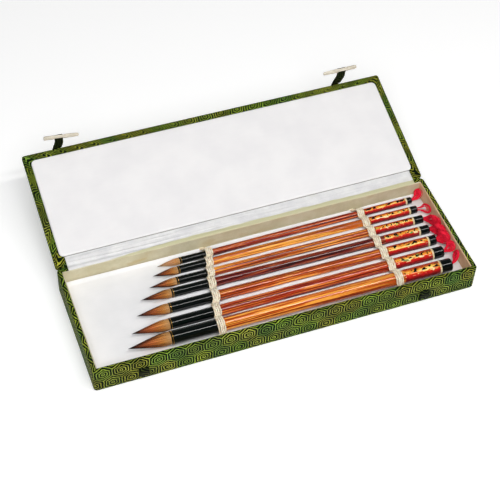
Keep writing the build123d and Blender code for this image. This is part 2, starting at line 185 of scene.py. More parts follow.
hinge = joint("lid_hinge")
HINGE_POINT = Vector(hinge["pos_m"])
LID_ANGLE = -math.radians(hinge["range_deg"][0])
LID_OPEN = turn_about(HINGE_POINT, hinge["axis"], LID_ANGLE)

tray_low, tray_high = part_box("tray_cover")
RIM = tray_high.z
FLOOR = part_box("bed_pad")[1].z


# ---- shader node helpers ----

def node(tree, kind, inputs=None, **settings):
    made = tree.nodes.new(kind)
    for key, value in settings.items():
        setattr(made, key, value)
    for key, value in (inputs or {}).items():
        plug(tree, value, made.inputs[key])
    return made


def plug(tree, value, socket):
    if isinstance(value, bpy.types.NodeSocket):
        tree.links.new(value, socket)
    else:
        socket.default_value = value


def sums(tree, operation, *values):
    return node(tree, "ShaderNodeMath", dict(enumerate(values)), operation=operation).outputs[0]


def vectors(tree, operation, *values):
    made = node(tree, "ShaderNodeVectorMath", operation=operation)
    for index, value in enumerate(values):
        plug(tree, value, made.inputs["Scale"] if operation == "SCALE" and index == 1 else made.inputs[index])
    return made.outputs["Value"] if operation in ("DOT_PRODUCT", "LENGTH") else made.outputs["Vector"]


def blend_colours(tree, factor, first, second, mode="MIX"):
    made = node(tree, "ShaderNodeMix", data_type="RGBA", blend_type=mode)
    for index, value in ((0, factor), (6, first), (7, second)):
        plug(tree, value, made.inputs[index])
    return made.outputs[2]


def colour_steps(tree, factor, stops):
    made = node(tree, "ShaderNodeValToRGB", {"Fac": factor})
    while len(made.color_ramp.elements) < len(stops):
        made.color_ramp.elements.new(0.5)
    for element, (position, colour) in zip(made.color_ramp.elements, stops):
        element.position = position
        element.color = colour
    return made.outputs["Color"]


def shaded(tree, colour, shade):
    return blend_colours(tree, 1.0, colour, shade, "MULTIPLY")


def weighted(tree, first, first_weight, second, second_weight=None):
    """Two values added, each times its weight."""
    if second_weight is not None:
        second = sums(tree, "MULTIPLY", second, second_weight)
    return sums(tree, "MULTIPLY_ADD", first, first_weight, second)


def axes_of(tree, vector):
    return node(tree, "ShaderNodeSeparateXYZ", {"Vector": vector}).outputs


def smooth_range(tree, value, low, high, to_low=0.0, to_high=1.0):
    made = node(tree, "ShaderNodeMapRange", {"Value": value, "From Min": low, "From Max": high,
                                             "To Min": to_low, "To Max": to_high},
                interpolation_type="SMOOTHSTEP")
    return made.outputs["Result"]


def speckle(tree, vector, scale, detail=2.0, roughness=0.5, distortion=0.0):
    made = node(tree, "ShaderNodeTexNoise", {"Vector": vector, "Scale": scale, "Detail": detail,
                                             "Roughness": roughness, "Distortion": distortion})
    return made.outputs[0]


def stretched(tree, vector, factors):
    return vectors(tree, "MULTIPLY", vector, factors)


def streaks_of(tree, vector, counts, detail=3.0, roughness=0.5):
    """Noise drawn out along the coordinates, with so many spots to the metre along each."""
    return speckle(tree, stretched(tree, vector, counts), 1.0, detail=detail, roughness=roughness)


def srgb(red, green, blue):
    """A colour given as 0 to 255 on a screen, as the shader's linear colour."""
    def linear(value):
        value /= 255
        return value / 12.92 if value <= 0.04045 else ((value + 0.055) / 1.055) ** 2.4
    return (linear(red), linear(green), linear(blue), 1.0)


def new_group(name, inputs, outputs):
    tree = bpy.data.node_groups.new(name, "ShaderNodeTree")
    for label, kind, value in inputs:
        socket = tree.interface.new_socket(label, in_out="INPUT", socket_type=kind)
        if value is not None:
            socket.default_value = value
    for label, kind in outputs:
        tree.interface.new_socket(label, in_out="OUTPUT", socket_type=kind)
    return tree, tree.nodes.new("NodeGroupInput").outputs, tree.nodes.new("NodeGroupOutput").inputs


def grouped(tree, group, **inputs):
    made = node(tree, "ShaderNodeGroup", None, node_tree=group)
    for key, value in inputs.items():
        plug(tree, value, made.inputs[key.replace("_", " ")])
    return made.outputs


def new_material(name, roughness=0.5, **sockets):
    """A material with one shader, its node tree, and the shader's inputs."""
    material = bpy.data.materials.new(name)
    material.use_nodes = True
    tree = material.node_tree
    inputs = tree.nodes["Principled BSDF"].inputs
    inputs["Roughness"].default_value = roughness
    for key, value in sockets.items():
        inputs[key.replace("_", " ")].default_value = value
    return material, tree, inputs


def cloth_coordinates(tree):
    return node(tree, "ShaderNodeUVMap", uv_map="laid_out").outputs[0]


def object_coordinates(tree):
    return node(tree, "ShaderNodeTexCoord").outputs["Object"]


def handled_gloss(tree, place, clean, worn, inputs):
    """Roughness between two values where hands have been, and the smudges' shade."""
    handled = grouped(tree, HANDLING, Vector=place, Clean=clean, Worn=worn)
    plug(tree, handled["Roughness"], inputs["Roughness"])
    return handled["Shade"]


def bump(tree, height, strength, distance, inputs):
    made = node(tree, "ShaderNodeBump", {"Height": height, "Strength": strength, "Distance": distance})
    plug(tree, made.outputs["Normal"], inputs["Normal"])


# ---- effects that several finishes share ----

def make_hexagons():
    """Nested hexagons: how far out from its hexagon's middle a point is, and a value for each hexagon."""
    tree, given, result = new_group(
        "hexagons", [("Vector", "NodeSocketVector", None), ("Cell", "NodeSocketFloat", BROCADE_CELL)],
        [("Distance", "NodeSocketFloat"), ("Hexagon", "NodeSocketFloat")])
    half = (0.5, math.sqrt(3) / 2, 0.5)
    minus_half = tuple(-h for h in half)
    inverse = sums(tree, "DIVIDE", 1.0, given["Cell"])
    place = stretched(tree, vectors(tree, "SCALE", given["Vector"], inverse), (1.0, 1.0, 0.0))
    nearest = []
    for start in ((0.0, 0.0, 0.0), half):
        moved = vectors(tree, "SUBTRACT", place, start)
        wrapped = stretched(tree, vectors(tree, "WRAP", moved, half, minus_half), (1.0, 1.0, 0.0))
        nearest.append((wrapped, vectors(tree, "DOT_PRODUCT", wrapped, wrapped)))
    (first, first_far), (second, second_far) = nearest
    choice = node(tree, "ShaderNodeMix", data_type="VECTOR")
    for index, value in ((0, sums(tree, "LESS_THAN", first_far, second_far)), (4, second), (5, first)):
        plug(tree, value, choice.inputs[index])
    within = choice.outputs[1]
    folded = vectors(tree, "ABSOLUTE", within)
    slanted = vectors(tree, "DOT_PRODUCT", folded, half)
    upright = axes_of(tree, folded)[0]
    plug(tree, sums(tree, "MAXIMUM", slanted, upright), result["Distance"])
    middle = vectors(tree, "SNAP", vectors(tree, "SUBTRACT", place, within), (0.25, 0.25, 0.25))
    random_value = node(tree, "ShaderNodeTexWhiteNoise", {"Vector": middle}).outputs["Value"]
    plug(tree, random_value, result["Hexagon"])
    return tree


def make_weave():
    """The height of plain woven threads."""
    tree, given, result = new_group(
        "weave", [("Vector", "NodeSocketVector", None), ("Threads", "NodeSocketFloat", 2500.0)],
        [("Height", "NodeSocketFloat")])
    wobble = speckle(tree, given["Vector"], 160.0)
    counted = vectors(tree, "SCALE", given["Vector"], sums(tree, "MULTIPLY", given["Threads"], math.pi))
    axes = axes_of(tree, counted)
    warp = sums(tree, "SINE", sums(tree, "ADD", axes[0], wobble))
    weft = sums(tree, "SINE", axes[1])
    plug(tree, sums(tree, "MULTIPLY_ADD", sums(tree, "MULTIPLY", warp, weft), 0.5, 0.5), result["Height"])
    return tree


def make_handling():
    """Faint smudges and unevenness on a surface that hands have touched."""
    tree, given, result = new_group(
        "handling", [("Vector", "NodeSocketVector", None), ("Clean", "NodeSocketFloat", 0.3),
                     ("Worn", "NodeSocketFloat", 0.5)],
        [("Roughness", "NodeSocketFloat"), ("Shade", "NodeSocketFloat")])
    broad = speckle(tree, given["Vector"], 45.0, detail=4.0, roughness=0.6)
    fine = speckle(tree, given["Vector"], 600.0, detail=3.0)
    worn = smooth_range(tree, weighted(tree, fine, 0.35, broad, 0.65), 0.35, 0.7)
    span = sums(tree, "SUBTRACT", given["Worn"], given["Clean"])
    plug(tree, sums(tree, "MULTIPLY_ADD", worn, span, given["Clean"]), result["Roughness"])
    plug(tree, smooth_range(tree, broad, 0.2, 0.8, 0.9, 1.06), result["Shade"])
    return tree


def make_mottle():
    """Cloudy streaks that run along a stick, as in stained and lacquered cane."""
    tree, given, result = new_group(
        "mottle", [("Vector", "NodeSocketVector", None), ("Along", "NodeSocketFloat", 40.0),
                   ("Across", "NodeSocketFloat", 220.0)],
        [("Cloud", "NodeSocketFloat"), ("Fibre", "NodeSocketFloat")])
    along, across = given["Along"], given["Across"]
    sizes = node(tree, "ShaderNodeCombineXYZ", {"X": along, "Y": across, "Z": across})
    place = stretched(tree, given["Vector"], sizes.outputs[0])
    plug(tree, speckle(tree, place, 1.0, detail=4.0, roughness=0.62, distortion=1.4), result["Cloud"])
    plug(tree, streaks_of(tree, place, (0.35, 3.6, 3.6), detail=2.0), result["Fibre"])
    return tree


HEXAGONS, WEAVE, HANDLING, MOTTLE = make_hexagons(), make_weave(), make_handling(), make_mottle()


# ---- finishes ----

def brocade_finish(name, tone=1.0, gold=0.3):
    """Green brocade figured with nested hexagons, each hexagon's thread dyed a little differently."""
    material, tree, inputs = new_material(name, 0.7, Specular_IOR_Level=0.1)
    place = cloth_coordinates(tree)
    drift = node(tree, "ShaderNodeTexNoise", {"Vector": place, "Scale": 210.0, "Detail": 3.0}).outputs[1]
    wavy = vectors(tree, "ADD", place, vectors(tree, "SCALE", drift, 0.0022))
    hexagons = grouped(tree, HEXAGONS, Vector=wavy, Cell=BROCADE_CELL)
    out, value = hexagons["Distance"], hexagons["Hexagon"]
    ring = sums(tree, "PINGPONG", sums(tree, "MULTIPLY", out, float(HEX_LINES)), 0.5)
    line = smooth_range(tree, ring, 0.33, 0.40)
    weave = grouped(tree, WEAVE, Vector=place, Threads=2200.0)
    gaps = speckle(tree, place, 1500.0, detail=3.0, roughness=0.7)
    line = sums(tree, "MULTIPLY", line, smooth_range(tree, gaps, 0.36, 0.56, 0.55, 1.0))

    def toned(*colours):
        return [(position, srgb(*(part * tone for part in colour))) for position, colour in colours]

    ground = colour_steps(tree, speckle(tree, place, 900.0, detail=4.0, roughness=0.7), toned(
        (0.30, (2, 8, 2)), (0.55, (8, 24, 6)), (0.75, (18, 44, 14))))
    threads = colour_steps(tree, value, toned(
        (0.0, (200, 216, 66)), (0.28, (160, 202, 66)), (0.5, (206, 212, 76)), (0.72, (138, 186, 72)),
        (0.9, (194, 196, 64))))
    patch = smooth_range(tree, speckle(tree, place, 38.0, detail=3.0), 0.56, 0.68)
    threads = blend_colours(tree, sums(tree, "MULTIPLY", patch, gold), threads, srgb(186, 160, 92))
    worn = smooth_range(tree, speckle(tree, place, 75.0, detail=3.0), 0.35, 0.65, 0.58, 1.0)
    cloth = blend_colours(tree, line, ground, shaded(tree, threads, worn))
    shade = smooth_range(tree, weave["Height"], 0.0, 1.0, 0.78, 1.1)
    plug(tree, shaded(tree, cloth, shade), inputs["Base Color"])
    plug(tree, smooth_range(tree, line, 0.0, 1.0, 0.75, 0.5), inputs["Roughness"])
    bump(tree, weighted(tree, weave["Height"], 0.5, line, 0.8), 0.5, 0.15 * MM, inputs)
    return material


def satin_finish(name, colour, shadow):
    material, tree, inputs = new_material(name, 0.5, Specular_IOR_Level=0.3)
    place = cloth_coordinates(tree)
    weave = grouped(tree, WEAVE, Vector=place, Threads=4000.0)
    slubs = streaks_of(tree, place, (60.0, 900.0, 1.0))
    broad = speckle(tree, place, 30.0, detail=3.0)
    tone = smooth_range(tree, weighted(tree, slubs, 0.15, broad, 0.85), 0.3, 0.7)
    plug(tree, blend_colours(tree, tone, shadow, colour), inputs["Base Color"])
    plug(tree, smooth_range(tree, slubs, 0.2, 0.8, 0.38, 0.55), inputs["Roughness"])
    bump(tree, weighted(tree, weave["Height"], 0.4, slubs, 0.25), 0.35, 0.12 * MM, inputs)
    return material


def cotton_finish(name, colour, shadow, stain, edge=None):
    """Plain cotton. With an edge colour, the strip near its lower edge takes it, wider towards the right.

    Such a strip also takes a painted shadow, a dark line in the fold where its upper edge goes under the pad.
    """
    material, tree, inputs = new_material(name, 0.85, Specular_IOR_Level=0.15)
    place = cloth_coordinates(tree)
    weave = grouped(tree, WEAVE, Vector=place, Threads=1500.0)
    broad = smooth_range(tree, speckle(tree, place, 55.0, detail=5.0, roughness=0.65), 0.3, 0.7)
    marks = smooth_range(tree, streaks_of(tree, place, (35.0, 110.0, 1.0), detail=4.0), 0.55, 0.75, 0.0, 0.6)
    cloth = blend_colours(tree, broad, shadow, colour)
    cloth = blend_colours(tree, marks, cloth, stain)
    if edge:
        axes = axes_of(tree, place)
        reach = smooth_range(tree, axes[0], -0.14, -0.05, 0.4 * MM, 3.9 * MM)
        wander = streaks_of(tree, place, (45.0, 300.0, 1.0))
        reach = sums(tree, "MULTIPLY_ADD", sums(tree, "SUBTRACT", wander, 0.5), 3.0 * MM, reach)
        past = sums(tree, "SUBTRACT", axes[1], reach)
        cloth = blend_colours(tree, smooth_range(tree, past, 0.5 * MM, -0.4 * MM), cloth, edge)
        # painted shadow of the lid pad's edge: a dark line where the strip goes under the pad
        pad_shadow = smooth_range(tree, axes[1], HINGE_STRIP - 0.9 * MM, HINGE_STRIP - 0.5 * MM, 0.0, 0.7)
        cloth = blend_colours(tree, pad_shadow, cloth, srgb(92, 88, 76))
    shade = smooth_range(tree, weave["Height"], 0.0, 1.0, 0.88, 1.04)
    plug(tree, shaded(tree, cloth, shade), inputs["Base Color"])
    bump(tree, weave["Height"], 0.5, 0.15 * MM, inputs)
    return material


def board_finish():
    material, tree, inputs = new_material("greyboard", 0.9)
    place = object_coordinates(tree)
    fibres = speckle(tree, place, 900.0, detail=5.0, roughness=0.7)
    plug(tree, colour_steps(tree, fibres, [(0.3, srgb(120, 108, 90)), (0.7, srgb(168, 154, 132))]),
         inputs["Base Color"])
    bump(tree, fibres, 0.4, 0.1 * MM, inputs)
    return material


def paper_finish(name, colour, shadow):
    material, tree, inputs = new_material(name, 0.8)
    place = object_coordinates(tree)
    fibres = speckle(tree, place, 1400.0, detail=5.0, roughness=0.75)
    broad = speckle(tree, place, 60.0, detail=3.0)
    tone = smooth_range(tree, weighted(tree, fibres, 0.5, broad, 0.5), 0.3, 0.65)
    plug(tree, blend_colours(tree, tone, shadow, colour), inputs["Base Color"])
    bump(tree, fibres, 0.25, 0.05 * MM, inputs)
    return material


def label_finish(length, width):
    """White paper with a plain printed frame; the coordinates run from the label's middle."""
    material, tree, inputs = new_material("label_paper", 0.7)
    place = cloth_coordinates(tree)
    axes = axes_of(tree, vectors(tree, "ABSOLUTE", place))
    in_x = sums(tree, "SUBTRACT", length / 2, axes[0])
    in_y = sums(tree, "SUBTRACT", width / 2, axes[1])
    inward = sums(tree, "MINIMUM", in_x, in_y)
    rules = []
    for middle, half in ((2.0 * MM, 0.35 * MM), (3.1 * MM, 0.12 * MM)):
        away = sums(tree, "ABSOLUTE", sums(tree, "SUBTRACT", inward, middle))
        rules.append(smooth_range(tree, away, half * 1.3, half * 0.7))
    fibres = speckle(tree, place, 1400.0, detail=5.0, roughness=0.75)
    tone = smooth_range(tree, fibres, 0.3, 0.7)
    paper = blend_colours(tree, tone, srgb(226, 224, 214), srgb(246, 245, 238))
    ink = sums(tree, "MAXIMUM", *rules)
    ink = sums(tree, "MULTIPLY", ink, smooth_range(tree, fibres, 0.25, 0.5, 0.7, 1.0))
    plug(tree, blend_colours(tree, ink, paper, srgb(40, 44, 40)), inputs["Base Color"])
    bump(tree, fibres, 0.2, 0.05 * MM, inputs)
    return material


def hair_finish(length):
    """Brown hair that darkens to its tip; the second coordinate is the distance from the tip."""
    material, tree, inputs = new_material("hair", 0.5, Specular_IOR_Level=0.3)
    place = cloth_coordinates(tree)
    from_tip = axes_of(tree, place)[1]
    strands = streaks_of(tree, place, (2600.0, 60.0, 1.0), roughness=0.6)
    ragged = sums(tree, "MULTIPLY_ADD", strands, 0.35 * length, from_tip)
    share = sums(tree, "DIVIDE", sums(tree, "SUBTRACT", ragged, 0.17 * length), length)
    body = colour_steps(tree, share, [
        (0.03, srgb(16, 8, 10)), (0.17, srgb(54, 26, 18)), (0.33, srgb(142, 68, 34)),
        (0.55, srgb(202, 106, 50)), (0.82, srgb(210, 134, 60)), (0.97, srgb(196, 146, 88))])
    shade = smooth_range(tree, strands, 0.25, 0.75, 0.55, 1.2)
    plug(tree, shaded(tree, body, shade), inputs["Base Color"])
    bump(tree, strands, 0.7, 0.2 * MM, inputs)
    return material


def horn_finish():
    material, tree, inputs = new_material("black_horn", 0.1, Specular_IOR_Level=0.5)
    place = object_coordinates(tree)
    handled_gloss(tree, place, 0.03, 0.08, inputs)
    streaks = streaks_of(tree, place, (40.0, 500.0, 500.0))
    plug(tree, colour_steps(tree, streaks, [(0.3, srgb(1, 3, 2)), (0.75, srgb(3, 12, 9))]),
         inputs["Base Color"])
    return material


def metal_ring_finish():
    material, tree, inputs = new_material("gilt_ring", 0.3, Metallic=1.0)
    shade = handled_gloss(tree, object_coordinates(tree), 0.2, 0.45, inputs)
    plug(tree, blend_colours(tree, shade, srgb(120, 84, 34), srgb(216, 170, 86)), inputs["Base Color"])
    return material


def bone_finish(name, colour, grain):
    material, tree, inputs = new_material(name, 0.35, Coat_Weight=0.25, Coat_Roughness=0.2)
    place = object_coordinates(tree)
    lines = streaks_of(tree, place, (90.0, 900.0, 900.0), detail=4.0, roughness=0.6)
    base = blend_colours(tree, smooth_range(tree, lines, 0.38, 0.66), grain, colour)
    plug(tree, shaded(tree, base, handled_gloss(tree, place, 0.28, 0.5, inputs)), inputs["Base Color"])
    bump(tree, lines, 0.2, 0.1 * MM, inputs)
    return material


def lacquer_finish(name, dark, middle, gold, seed):
    """Stained cane under clear lacquer, with long streaks."""
    material, tree, inputs = new_material(name, 0.25, Specular_IOR_Level=0.85)
    place = vectors(tree, "ADD", object_coordinates(tree), (seed, seed * 0.7, 0.0))
    mottle = grouped(tree, MOTTLE, Vector=place, Along=16.0, Across=330.0)
    cloud, fibre = mottle["Cloud"], mottle["Fibre"]
    streaks = weighted(tree, fibre, 0.5, cloud, 0.5)
    tint = colour_steps(tree, streaks, [(0.41, dark), (0.475, middle), (0.52, middle), (0.57, gold)])
    shade = smooth_range(tree, fibre, 0.32, 0.68, 0.55, 1.28)
    plug(tree, shaded(tree, tint, shade), inputs["Base Color"])
    handled_gloss(tree, place, 0.09, 0.2, inputs)
    bump(tree, fibre, 0.1, 0.1 * MM, inputs)
    return material


def sleeve_finish(name, radius, seed, leaf, start):
    """A printed sleeve: golden orange over red, with ragged black marks, cream flecks and a few leaves.

    The ground runs round the sleeve by the way it faces: printed orange over red, with painted light, golden
    orange on the upward side, and painted shade, darkening to deep red at the underside and to brownish
    orange at the back edge. The first coordinate runs round the sleeve and the second along it.
    """
    material, tree, inputs = new_material(name, 0.2, Specular_IOR_Level=0.4)
    place = vectors(tree, "ADD", cloth_coordinates(tree), (0.0, seed, 0.0))
    axes = axes_of(tree, place)
    blurred = speckle(tree, place, 420.0, detail=3.0)
    angle = sums(tree, "DIVIDE", axes[0], radius)
    turn = sums(tree, "MULTIPLY_ADD", blurred, 0.7, sums(tree, "SUBTRACT", angle, 0.35))
    # golden orange where the sleeve faces up, dark red towards its underside and darker at its back edge:
    # print with painted light and painted shade
    ground = colour_steps(tree, smooth_range(tree, turn, 1.2, 3.1), [
        (0.03, srgb(180, 60, 20)), (0.14, srgb(240, 150, 50)), (0.34, srgb(250, 158, 40)),
        (0.46, srgb(240, 104, 28)), (0.60, srgb(214, 40, 28)), (0.82, srgb(190, 28, 28)),
        (0.97, srgb(120, 18, 20))])

    def blots(scales, shift, level, middle, reach):
        """Ragged blots of one kind, kept to a band round the sleeve."""
        shifted = vectors(tree, "ADD", place, (shift, shift, 0.0))
        mass = streaks_of(tree, shifted, scales, detail=2.0, roughness=0.55)
        aside = sums(tree, "ABSOLUTE", sums(tree, "SUBTRACT", angle, middle))
        kept = smooth_range(tree, aside, reach, reach * 0.7)
        return sums(tree, "MULTIPLY", smooth_range(tree, mass, level, level + 0.03), kept)

    gold = blots((500.0, 60.0, 1.0), 0.31, 0.52, 1.95, 0.35)
    flecks = blots((420.0, 160.0, 1.0), 0.57, 0.57, 2.2, 0.3)
    blossoms = blots((170.0, 120.0, 1.0), 0.71, 0.56, 2.3, 0.5)
    leaves = blots((240.0, 170.0, 1.0), 0.83, 0.60, 1.85, 0.5)
    strokes = blots((300.0, 270.0, 1.0), 0.11, 0.515, 1.66, 0.4)
    from_start = sums(tree, "SUBTRACT", axes[1], seed + start)
    painted = blend_colours(tree, sums(tree, "MULTIPLY", gold, 0.9), ground, srgb(255, 226, 120))
    painted = blend_colours(tree, sums(tree, "MULTIPLY", flecks, 0.9), painted, srgb(252, 232, 170))
    at_start = smooth_range(tree, from_start, 9.0 * MM, 3.0 * MM)
    painted = blend_colours(tree, sums(tree, "MULTIPLY", blossoms, at_start), painted, srgb(255, 240, 204))
    painted = blend_colours(tree, leaves, painted, leaf)
    painted = blend_colours(tree, strokes, painted, srgb(14, 12, 8))
    plug(tree, painted, inputs["Base Color"])
    handled_gloss(tree, place, 0.12, 0.28, inputs)
    return material


def thread_finish(name, colour, shadow):
    """Twisted yarn; the first coordinate runs along it and the second round it, in metres."""
    material, tree, inputs = new_material(name, 0.7, Specular_IOR_Level=0.25)
    place = cloth_coordinates(tree)
    axes = axes_of(tree, place)
    twist = sums(tree, "SINE", sums(tree, "MULTIPLY", sums(tree, "ADD", axes[0], axes[1]), 9000.0))
    fuzz = speckle(tree, place, 2500.0, detail=3.0)
    worn = speckle(tree, place, 110.0, detail=3.0)
    height = weighted(tree, twist, 0.4, fuzz)
    tone = smooth_range(tree, weighted(tree, worn, 0.7, height, 0.3), 0.3, 0.75)
    plug(tree, blend_colours(tree, tone, shadow, colour), inputs["Base Color"])
    bump(tree, height, 0.5, 0.1 * MM, inputs)
    return material


BROCADE = brocade_finish("brocade")
# the same brocade dimmed to about a third: painted shade, used for the straps, the toggle loops and the strap
# patches
SHADED_BROCADE = brocade_finish("brocade_painted_shade", tone=0.36, gold=0.1)
SATIN = satin_finish("white_satin", srgb(246, 244, 244), srgb(239, 237, 238))
BED_SATIN = satin_finish("bed_satin", srgb(249, 248, 249), srgb(240, 240, 241))
LINING_COTTON = cotton_finish("lining_cotton", srgb(225, 217, 188), srgb(211, 201, 166), srgb(198, 174, 122))
# the lining cotton made warm, rosy and a little darker for the right wall: a painted reflection of the red
# silk loops and painted shade
REFLECTION_AND_SHADE_COTTON = cotton_finish("cotton_painted_red_reflection_and_shade", srgb(234, 206, 168), srgb(214, 176, 138), srgb(204, 150, 108))
STRIP_COTTON = cotton_finish("hinge_cotton", srgb(240, 239, 238), srgb(222, 221, 223), srgb(214, 211, 204),
                             edge=srgb(206, 202, 164))
BOARD = board_finish()
UNDER_PAPER = paper_finish("under_paper", srgb(222, 216, 200), srgb(200, 192, 174))
HORN = horn_finish()
GILT = metal_ring_finish()
BONE = bone_finish("bone", srgb(226, 218, 200), srgb(198, 188, 168))
IVORY = bone_finish("pale_collar", srgb(242, 228, 190), srgb(214, 190, 140))
RED_SILK = thread_finish("red_silk", srgb(252, 44, 76), srgb(222, 18, 44))
YARNS = [
    thread_finish("yarn_cream", srgb(254, 250, 232), srgb(244, 234, 208)),
    thread_finish("yarn_tan", srgb(244, 228, 196), srgb(206, 176, 136)),
    thread_finish("yarn_rose", srgb(252, 240, 222), srgb(232, 210, 184)),
]


# ---- mesh helpers ----

def add_object(name, data):
    made = bpy.data.objects.new(name, data)
    bpy.context.scene.collection.objects.link(made)
    return made


class Sheet:
    """Points and faces of one piece, with the laid-out place of each corner of each face."""

    def __init__(self):
        self.points, self.faces, self.places, self.slots = [], [], [], []

    def add_points(self, points):
        start = len(self.points)
        self.points.extend(Vector(p) for p in points)
        return list(range(start, len(self.points)))

    def add_face(self, corners, places, slot=0):
        self.faces.append(corners)
        self.places.append(places)
        self.slots.append(slot)

    def add_grid(self, rows, places, closed=False, slot=0):
        """Quads between rows of points. A closed row's places have one entry more than its points."""
        index = [self.add_points(row) for row in rows]
        count = len(rows[0])
        for j in range(len(rows) - 1):
            for i in range(count if closed else count - 1):
                k = (i + 1) % count
                corners = [index[j][i], index[j][k], index[j + 1][k], index[j + 1][i]]
                laid_out = [places[j][i], places[j][i + 1], places[j + 1][i + 1], places[j + 1][i]]
                self.add_face(corners, laid_out, slot)
        return index

    def add_end(self, ring):
        """A flat face across a ring of points, laid out as it lies in X and Y, or in Y and Z if it stands."""
        points = [self.points[i] for i in ring]
        deep = max(p.z for p in points) - min(p.z for p in points)
        wide = max(p.x for p in points) - min(p.x for p in points)
        flat = [(p.y, p.z) if deep > wide else (p.x, p.y) for p in points]
        self.add_face(list(ring), flat)

    def close_below(self, grid, lowered, origin=(0.0, 0.0)):
        """Sides and a bottom under a grid, at the height that lowered gives for each point of its rim."""
        rim = grid[0] + [row[-1] for row in grid[1:]] + grid[-1][-2::-1] + [row[0] for row in grid[-2:0:-1]]
        below = self.add_points([(*self.points[i][:2], lowered(self.points[i].z)) for i in rim])
        sides = [[rim[a], rim[a + 1 - len(rim)], below[a + 1 - len(rim)], below[a]] for a in range(len(rim))]
        for corners in sides + [below]:
            flat = [(self.points[i].x - origin[0], self.points[i].y - origin[1]) for i in corners]
            self.add_face(corners, flat)

    def build(self, name, materials, body, slot, replaces=(), place=None):
        mesh = bpy.data.meshes.new(name)
        mesh.from_pydata([p[:] for p in self.points], [], self.faces)
        layer = mesh.uv_layers.new(name="laid_out")
        laid_out = [corner for corners in self.places for corner in corners]
        for loop, corner in enumerate(laid_out):
            layer.data[loop].uv = corner[:2]
        for material in materials:
            mesh.materials.append(material)
        for polygon, material_slot in zip(mesh.polygons, self.slots):
            polygon.material_index = material_slot
            polygon.use_smooth = True
        shape = bmesh.new()
        shape.from_mesh(mesh)
        bmesh.ops.remove_doubles(shape, verts=shape.verts, dist=1e-7)
        bmesh.ops.recalc_face_normals(shape, faces=shape.faces)
        shape.to_mesh(mesh)
        shape.free()
        if place is not None:
            mesh.transform(place)
        piece = add_object(name, mesh)
        if body:
            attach(piece, body)
        if replaces:
            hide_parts(*replaces)
        return piece


def spaced(low, high, steps):
    return [low + (high - low) * i / steps for i in range(steps + 1)]


def arc(middle, radius, start, end, steps):
    """Points of an arc in a plane, by angles in degrees."""
    angles = [math.radians(a) for a in spaced(start, end, steps)]
    return [(middle[0] + radius * math.cos(a), middle[1] + radius * math.sin(a)) for a in angles]


def rounded_ring(bounds, inset, radius, long_steps, short_steps, corner_steps=6):
    """Points and outward directions round a rectangle with round corners, from its front left."""
    x0, x1, y0, y1 = bounds[0] + inset, bounds[1] - inset, bounds[2] + inset, bounds[3] - inset
    corners = [((x1 - radius, y0 + radius), -90), ((x1 - radius, y1 - radius), 0),
               ((x0 + radius, y1 - radius), 90), ((x0 + radius, y0 + radius), 180)]
    points, outward = [], []
    for side, ((cx, cy), start) in enumerate(corners):
        for a in spaced(start, start + 90, corner_steps):
            direction = (math.cos(math.radians(a)), math.sin(math.radians(a)))
            points.append((cx + radius * direction[0], cy + radius * direction[1]))
            outward.append(direction)
        nx, ny = corners[(side + 1) % 4][0]
        direction = (math.cos(math.radians(start + 90)), math.sin(math.radians(start + 90)))
        first, last = points[-1], (nx + radius * direction[0], ny + radius * direction[1])
        steps = short_steps if side in (0, 2) else long_steps
        for t in spaced(0, 1, steps)[1:-1]:
            points.append((first[0] + (last[0] - first[0]) * t, first[1] + (last[1] - first[1]) * t))
            outward.append(direction)
    return points, outward


def running_length(points, closed=False):
    total, lengths = 0.0, [0.0]
    ends = points[1:] + ([points[0]] if closed else [])
    for first, second in zip(points, ends):
        total += (Vector(second) - Vector(first)).length
        lengths.append(total)
    return lengths


def unevenness(point, size, depth, seed=0.0):
    """A small smooth height that varies over a surface in bumps of about that size."""
    return noise.noise(Vector(point) / size + Vector((seed, seed * 1.7, seed * 0.3))) * depth


# ---- tray ----

def make_tray_cover():
    """Brocade round the outside of the walls, over the rim and down behind the lining."""
    bounds = (tray_low.x, tray_high.x, tray_low.y, tray_high.y)
    bottom, r = tray_low.z, EDGE_ROUND
    inner = WALL_TO_LINING
    profile = [(6 * MM, bottom)] + arc((r, bottom + r), r, 270, 180, 4)
    profile += [(0.0, z) for z in spaced(bottom + r, RIM - r, 10)[1:-1]] + arc((r, RIM - r), r, 180, 90, 5)
    profile += [(inner - 0.5 * MM, RIM)] + arc((inner - 0.5 * MM, RIM - 0.5 * MM), 0.5 * MM, 60, 0, 2)
    profile += [(inner, RIM - 2.5 * MM)]
    lengths = running_length(profile)
    rings = [rounded_ring(bounds, inset, max(CORNER - inset, 0.4 * MM), 96, 32) for inset, z in profile]
    around = running_length(rings[len(rings) // 2][0], closed=True)
    sheet = Sheet()
    rows, places = [], []
    for (inset, z), (ring, outward), down in zip(profile, rings, lengths):
        row = []
        for (x, y), (nx, ny) in zip(ring, outward):
            depth = unevenness((x, y, z), 16 * MM, 0.16 * MM) if z > bottom and inset < inner / 2 else 0.0
            row.append((x + nx * depth, y + ny * depth, z))
        rows.append(row)
        places.append([(u, down) for u in around])
    index = sheet.add_grid(rows, places, closed=True)
    sheet.add_end(index[0])
    return sheet.build("tray_brocade", [BROCADE], "tray", "brocade", ["tray_cover"])


